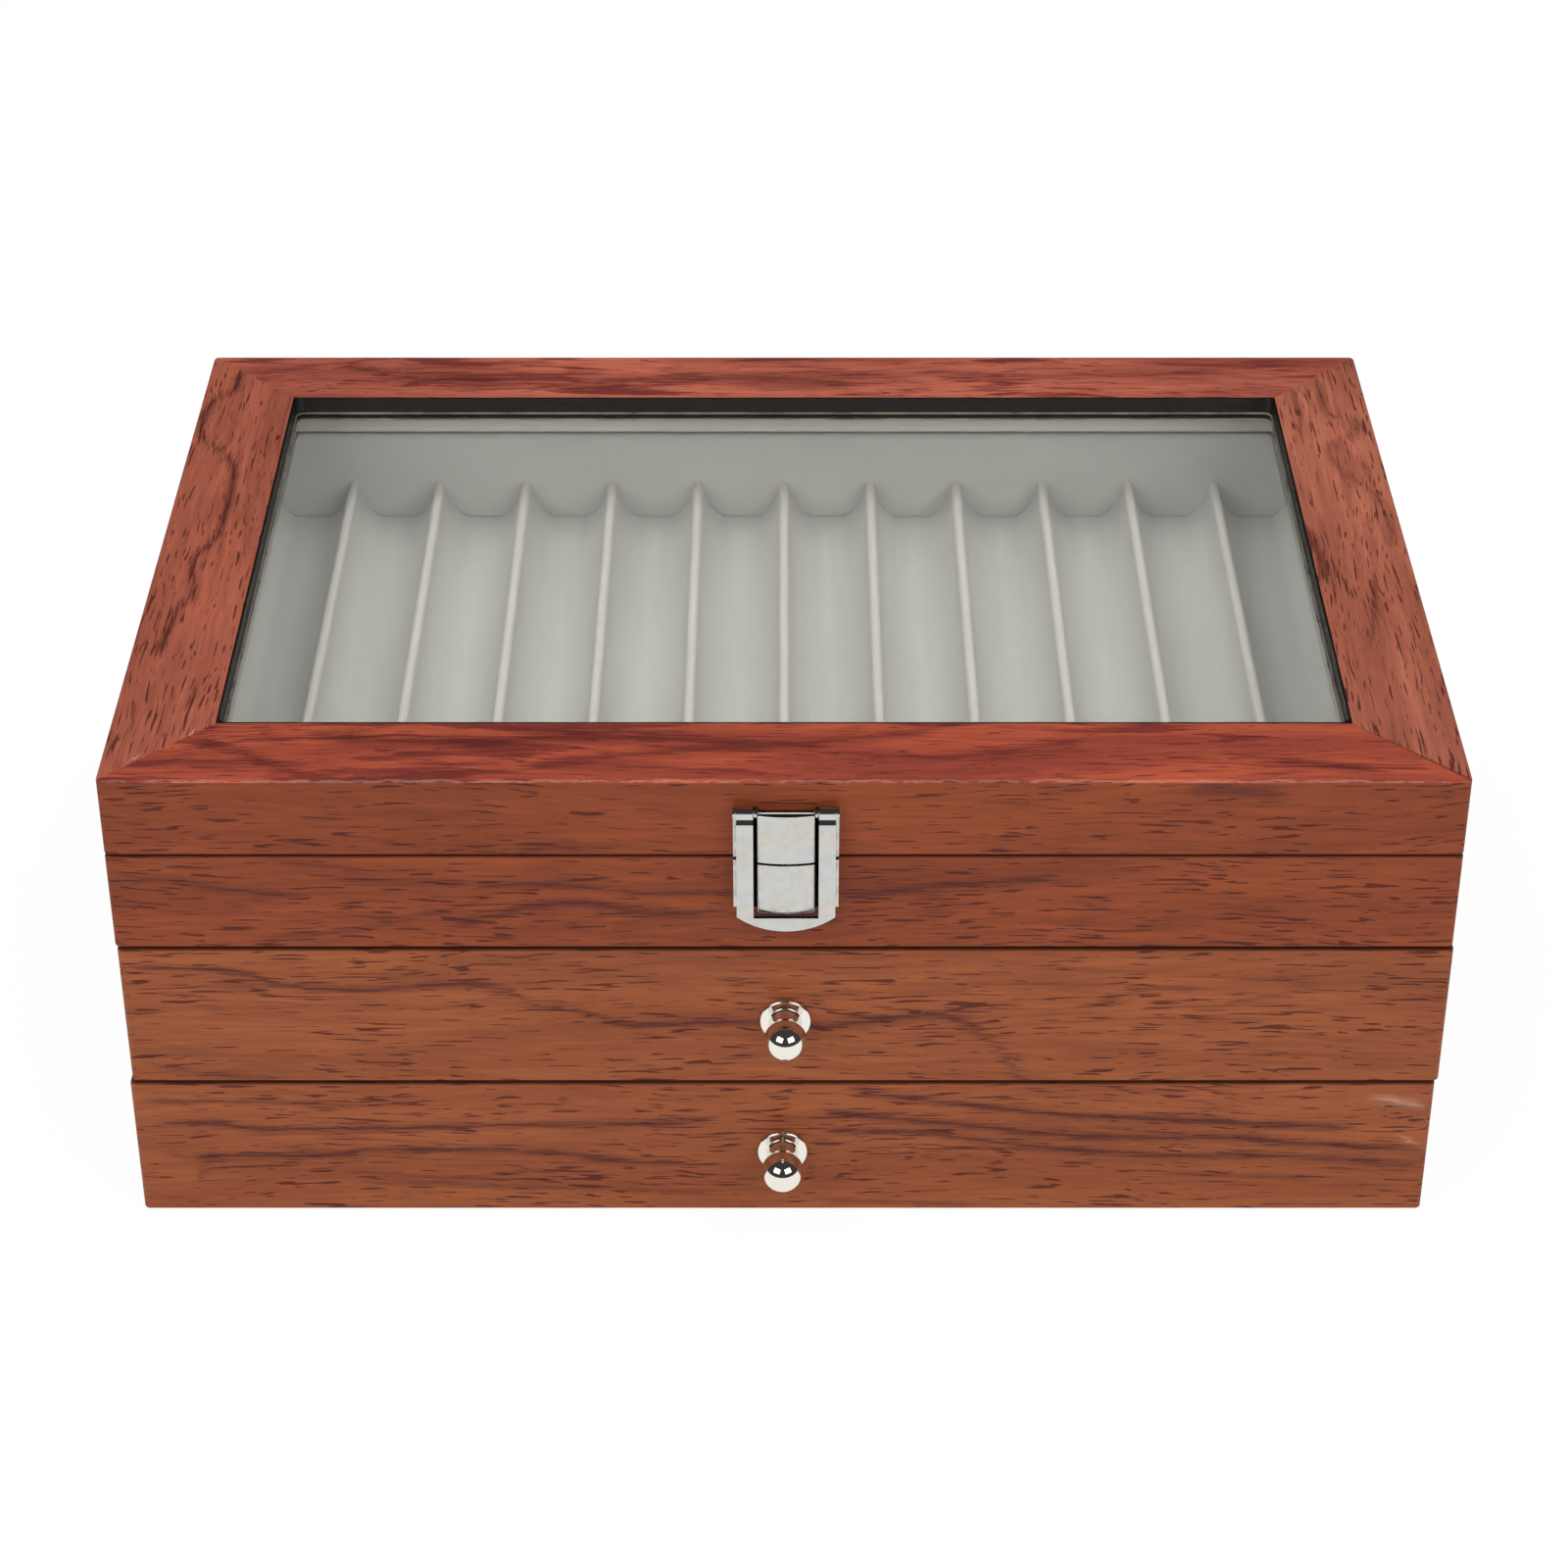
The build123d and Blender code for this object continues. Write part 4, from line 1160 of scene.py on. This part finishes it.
def add_screw(mesh, low, high, outward, turn):
    """A wood screw along Y, with a cross in its head; outward is the side that its head is on."""
    radius = (high.x - low.x) / 2
    length = high.y - low.y
    centre = Vector(((low.x + high.x) / 2, high.y if outward > 0 else low.y, (low.z + high.z) / 2))
    place = Matrix.Translation(centre) @ Matrix.Rotation(turn, 4, "Y")
    corners = []
    for quarter in range(4):
        angle = math.pi / 2 * quarter
        for across, reach in ((-CROSS_ARM, CROSS_REACH), (CROSS_ARM, CROSS_REACH), (CROSS_ARM, CROSS_ARM)):
            x = across * math.cos(angle) + reach * math.sin(angle)
            z = reach * math.cos(angle) - across * math.sin(angle)
            corners.append(mesh.verts.new(place @ Vector((x * radius, 0.0, z * radius))))
    cross = mesh.faces.new(corners)
    cross_edges = list(cross.edges)
    rim = bmesh.ops.create_circle(mesh, segments=24, radius=radius)["verts"]
    loop = list({edge for vert in rim for edge in vert.link_edges})
    sunk = Matrix.Translation((0.0, -outward * HEAD_DOME * radius, 0.0))
    bmesh.ops.transform(mesh, matrix=place @ sunk @ Matrix.Rotation(math.pi / 2, 4, "X"), verts=rim)
    bmesh.ops.bridge_loops(mesh, edges=cross_edges + loop)
    pressed = bmesh.ops.extrude_discrete_faces(mesh, faces=[cross])["faces"][0]
    bmesh.ops.translate(mesh, verts=pressed.verts, vec=(0.0, -outward * CROSS_DEPTH, 0.0))
    for share, scale in SCREW_RINGS:
        grown = bmesh.ops.extrude_edge_only(mesh, edges=loop)["geom"]
        rim = [item for item in grown if isinstance(item, bmesh.types.BMVert)]
        loop = [item for item in grown if isinstance(item, bmesh.types.BMEdge)]
        for vert in rim:
            away = vert.co - centre
            wide = Vector((away.x, 0.0, away.z)).normalized() * radius * scale
            vert.co = centre + wide - Vector((0.0, outward * length * share, 0.0))
    bmesh.ops.contextual_create(mesh, geom=loop)


def make_screws(node_name, body, outward, material):
    """Screws with cross heads in the place of a node's plain ones."""
    mesh = bmesh.new()
    for index, (low, high) in enumerate(solid_boxes(node_name)):
        add_screw(mesh, low, high, outward, 0.35 + 0.9 * index)
    finish_piece(f"{node_name}_crossed", mesh, body, material, (node_name,), 30.0)


class PENCHEST_OT_latch(bpy.types.Operator):
    """Plate the swing latch, round its edges and set its screws"""

    bl_idname = "pen_chest.latch"
    bl_label = "Latch"

    def execute(self, context):
        metal = context.scene.pen_chest_metal
        plate = nickel_material("nickel_latch", metal.latch_colour, 0.6, 0.26, 0.008, "latch_pins")
        dress("latch_pins", plate)
        bodies = {"latch_base_plate": "case", "latch_lid_plate": "lid", "latch_hasp": "latch_hasp"}
        for node_name, body in bodies.items():
            edged_copy(node_name, body, plate, metal.edge_radius)
        make_screws("latch_base_screws", "case", -1.0, plate)
        make_screws("latch_lid_screws", "lid", -1.0, plate)
        return {"FINISHED"}


class PENCHEST_OT_hinges(bpy.types.Operator):
    """Plate the back hinges, round their edges and set their screws"""

    bl_idname = "pen_chest.hinges"
    bl_label = "Hinges"

    def execute(self, context):
        metal = context.scene.pen_chest_metal
        plate = nickel_material("nickel_hinge", metal.latch_colour, 0.5, 0.28, 0.008, "hinge_pins")
        dress("hinge_pins", plate)
        for half, body in (("base", "case"), ("lid", "lid")):
            edged_copy(f"hinge_{half}_leaves", body, plate, metal.edge_radius)
        for half, body in (("base", "case"), ("lid", "lid")):
            make_screws(f"hinge_{half}_screws", body, 1.0, plate)
        return {"FINISHED"}


# The knob's radii, its flange and cove, and how far the middle of its ball stands from the wood.
FLANGE = 6.6 * MM
FLANGE_THICKNESS = 1.2 * MM
FLANGE_FOOT = 0.2 * MM
NECK = 4.15 * MM
NECK_COVE = 0.5 * MM
NECK_HOLLOW = 0.15 * MM
WAIST = 3.45 * MM
BALL = 5.45 * MM
BALL_STAND_OFF = 8.8 * MM


def knob_outline():
    """The turned outline of a knob, as (distance from its axis, distance from the wood)."""
    edge = FLANGE_THICKNESS / 2
    points = [(0.0, 0.0), (FLANGE - FLANGE_FOOT, 0.0), (FLANGE, FLANGE_FOOT), (FLANGE, edge)]
    for step in range(1, 6):
        angle = math.pi / 2 * step / 5
        points.append((FLANGE - edge + edge * math.cos(angle), edge + edge * math.sin(angle)))
    for step in range(6):
        angle = math.pi / 2 * step / 5
        across = NECK + NECK_COVE - NECK_COVE * math.sin(angle)
        points.append((across, FLANGE_THICKNESS + NECK_COVE - NECK_COVE * math.cos(angle)))
    reach = math.sqrt(BALL**2 - WAIST**2)
    start = FLANGE_THICKNESS + NECK_COVE
    for step in range(1, 7):
        share = step / 6
        across = NECK + (WAIST - NECK) * share - NECK_HOLLOW * math.sin(math.pi * share)
        points.append((across, start + (BALL_STAND_OFF - reach - start) * share))
    first = math.atan2(WAIST, -reach)
    for step in range(1, 33):
        angle = first * (1 - step / 32)
        points.append((BALL * math.sin(angle), BALL_STAND_OFF + BALL * math.cos(angle)))
    return points


class PENCHEST_OT_knobs(bpy.types.Operator):
    """Turn the two drawer knobs"""

    bl_idname = "pen_chest.knobs"
    bl_label = "Knobs"

    def execute(self, context):
        metal = context.scene.pen_chest_metal
        plate = nickel_material("nickel_knob", metal.knob_colour, 0.2, 0.05, 0.01)
        for body in ("upper_drawer", "lower_drawer"):
            low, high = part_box(f"{body}_knob")
            y_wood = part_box(f"{body}_front")[0].y
            centre = Vector(((low.x + high.x) / 2, y_wood, (low.z + high.z) / 2))
            mesh = bmesh.new()
            verts = [mesh.verts.new(centre + Vector((r, -d, 0.0))) for r, d in knob_outline()]
            edges = [mesh.edges.new(pair) for pair in zip(verts, verts[1:])]
            bmesh.ops.spin(
                mesh,
                geom=verts + edges,
                cent=centre,
                axis=(0.0, 1.0, 0.0),
                angle=2 * math.pi,
                steps=metal.knob_facets,
                use_merge=True,
            )
            finish_piece(f"{body}_knob_turned", mesh, body, plate, (f"{body}_knob",), 50.0)
            dress(f"{body}_knob_screw", plate)
        return {"FINISHED"}


# ---------- stage ----------
def floor_material():
    """White floor: it shows as white, and keeps a faint shadow."""
    material, nodes, shader, _ = new_material("white_floor")
    nodes.feed(shader, {"Base Color": (0.86, 0.86, 0.86), "Roughness": 0.9})
    ray = nodes.add("LightPath").outputs
    seen = nodes.plus(ray["Is Camera Ray"], ray["Is Glossy Ray"])
    seen = nodes.plus(seen, ray["Is Transmission Ray"], clamp=True)
    glow = nodes.add("Emission", {"Color": (1.0, 1.0, 1.0), "Strength": 1.06})
    factor = nodes.times(seen, 0.86)
    show_shader(material, nodes.mix_shaders(factor, shader.outputs[0], glow.outputs[0]))
    return material


def light_world(strength):
    """White past the floor, plain grey light on the object, and a dark room in reflections."""
    world = bpy.data.worlds.new("studio")
    bpy.context.scene.world = world
    world.use_nodes = True
    world.node_tree.nodes.clear()
    nodes = Nodes(world.node_tree)
    ray = nodes.add("LightPath").outputs
    seen = nodes.plus(ray["Is Camera Ray"], ray["Is Transmission Ray"], clamp=True)
    room, dark, white = [
        nodes.add("Background", {"Color": colour, "Strength": power}).outputs[0]
        for colour, power in (
            ((1.0, 0.99, 0.97), strength),
            ((0.05, 0.045, 0.04), 1.0),
            ((1.0, 1.0, 1.0), 1.0),
        )
    ]
    lit = nodes.mix_shaders(ray["Is Glossy Ray"], room, dark)
    nodes.add("OutputWorld", {"Surface": nodes.mix_shaders(seen, lit, white)})


def add_softbox(name, place, aim, width, height, power, mirrored):
    """A rectangular area light that looks at a point, and shows in reflections if it is mirrored."""
    lamp = bpy.data.lights.new(name, "AREA")
    lamp.shape = "RECTANGLE"
    lamp.size = width
    lamp.size_y = height
    lamp.energy = power
    holder = bpy.data.objects.new(name, lamp)
    bpy.context.scene.collection.objects.link(holder)
    holder.visible_glossy = mirrored
    holder.location = place
    holder.rotation_euler = (Vector(aim) - Vector(place)).to_track_quat("-Z", "Y").to_euler()


FLOOR_CORNERS = ((-3.0, -2.2), (3.0, -2.2), (3.0, 3.0), (-3.0, 3.0))
LIGHT_AIM = (0.0, 0.0, 0.08)


def lay_floor():
    """A flat floor at the level of the felt's underside."""
    mesh = bmesh.new()
    mesh.faces.new([mesh.verts.new((x, y, 0.0)) for x, y in FLOOR_CORNERS])
    data = bpy.data.meshes.new("floor")
    mesh.to_mesh(data)
    mesh.free()
    data.materials.append(floor_material())
    floor = bpy.data.objects.new("floor", data)
    bpy.context.scene.collection.objects.link(floor)


class PENCHEST_OT_stage(bpy.types.Operator):
    """Set the floor, the lights and the camera"""

    bl_idname = "pen_chest.stage"
    bl_label = "Stage"

    def execute(self, context):
        stage = context.scene.pen_chest_stage
        lay_floor()
        light_world(stage.surround)
        for side, name in ((-1.0, "left"), (1.0, "right")):
            front = (side * 0.95, -1.35, 1.05)
            top = (side * 0.6, -0.15, 1.5)
            add_softbox(f"front_softbox_{name}", front, LIGHT_AIM, 1.15, 0.85, stage.front_light, True)
            add_softbox(f"top_softbox_{name}", top, LIGHT_AIM, 0.7, 1.0, stage.top_light, False)
        lens = bpy.data.cameras.new("camera")
        lens.sensor_width = 36.0
        lens.lens = stage.lens
        camera = bpy.data.objects.new("camera", lens)
        context.scene.collection.objects.link(camera)
        camera.location = stage.camera_place
        camera.rotation_euler = (math.pi / 2 - stage.camera_pitch, 0.0, 0.0)
        context.scene.camera = camera
        context.scene.view_settings.view_transform = "Standard"
        return {"FINISHED"}


# ---------- add-on ----------
class PENCHEST_PT_panel(bpy.types.Panel):
    """Lists the pieces of the chest in the order in which they are made"""

    bl_idname = "PENCHEST_PT_panel"
    bl_label = "Pen Chest"
    bl_space_type = "VIEW_3D"
    bl_region_type = "UI"
    bl_category = "Pen Chest"

    def draw(self, context):
        for operator in OPERATORS:
            self.layout.operator(operator.bl_idname)


OPERATORS = (
    PENCHEST_OT_stage,
    PENCHEST_OT_wood,
    PENCHEST_OT_window,
    PENCHEST_OT_trays,
    PENCHEST_OT_linings,
    PENCHEST_OT_felt,
    PENCHEST_OT_latch,
    PENCHEST_OT_hinges,
    PENCHEST_OT_knobs,
)


def register():
    for name, settings in SETTINGS:
        bpy.utils.register_class(settings)
        setattr(bpy.types.Scene, name, bpy.props.PointerProperty(type=settings))
    for operator in OPERATORS:
        bpy.utils.register_class(operator)
    bpy.utils.register_class(PENCHEST_PT_panel)


def unregister():
    bpy.utils.unregister_class(PENCHEST_PT_panel)
    for operator in reversed(OPERATORS):
        bpy.utils.unregister_class(operator)
    for name, settings in reversed(SETTINGS):
        delattr(bpy.types.Scene, name)
        bpy.utils.unregister_class(settings)


def main():
    register()
    for operator in OPERATORS:
        category, name = operator.bl_idname.split(".")
        getattr(getattr(bpy.ops, category), name)()


if __name__ == "__main__":
    main()
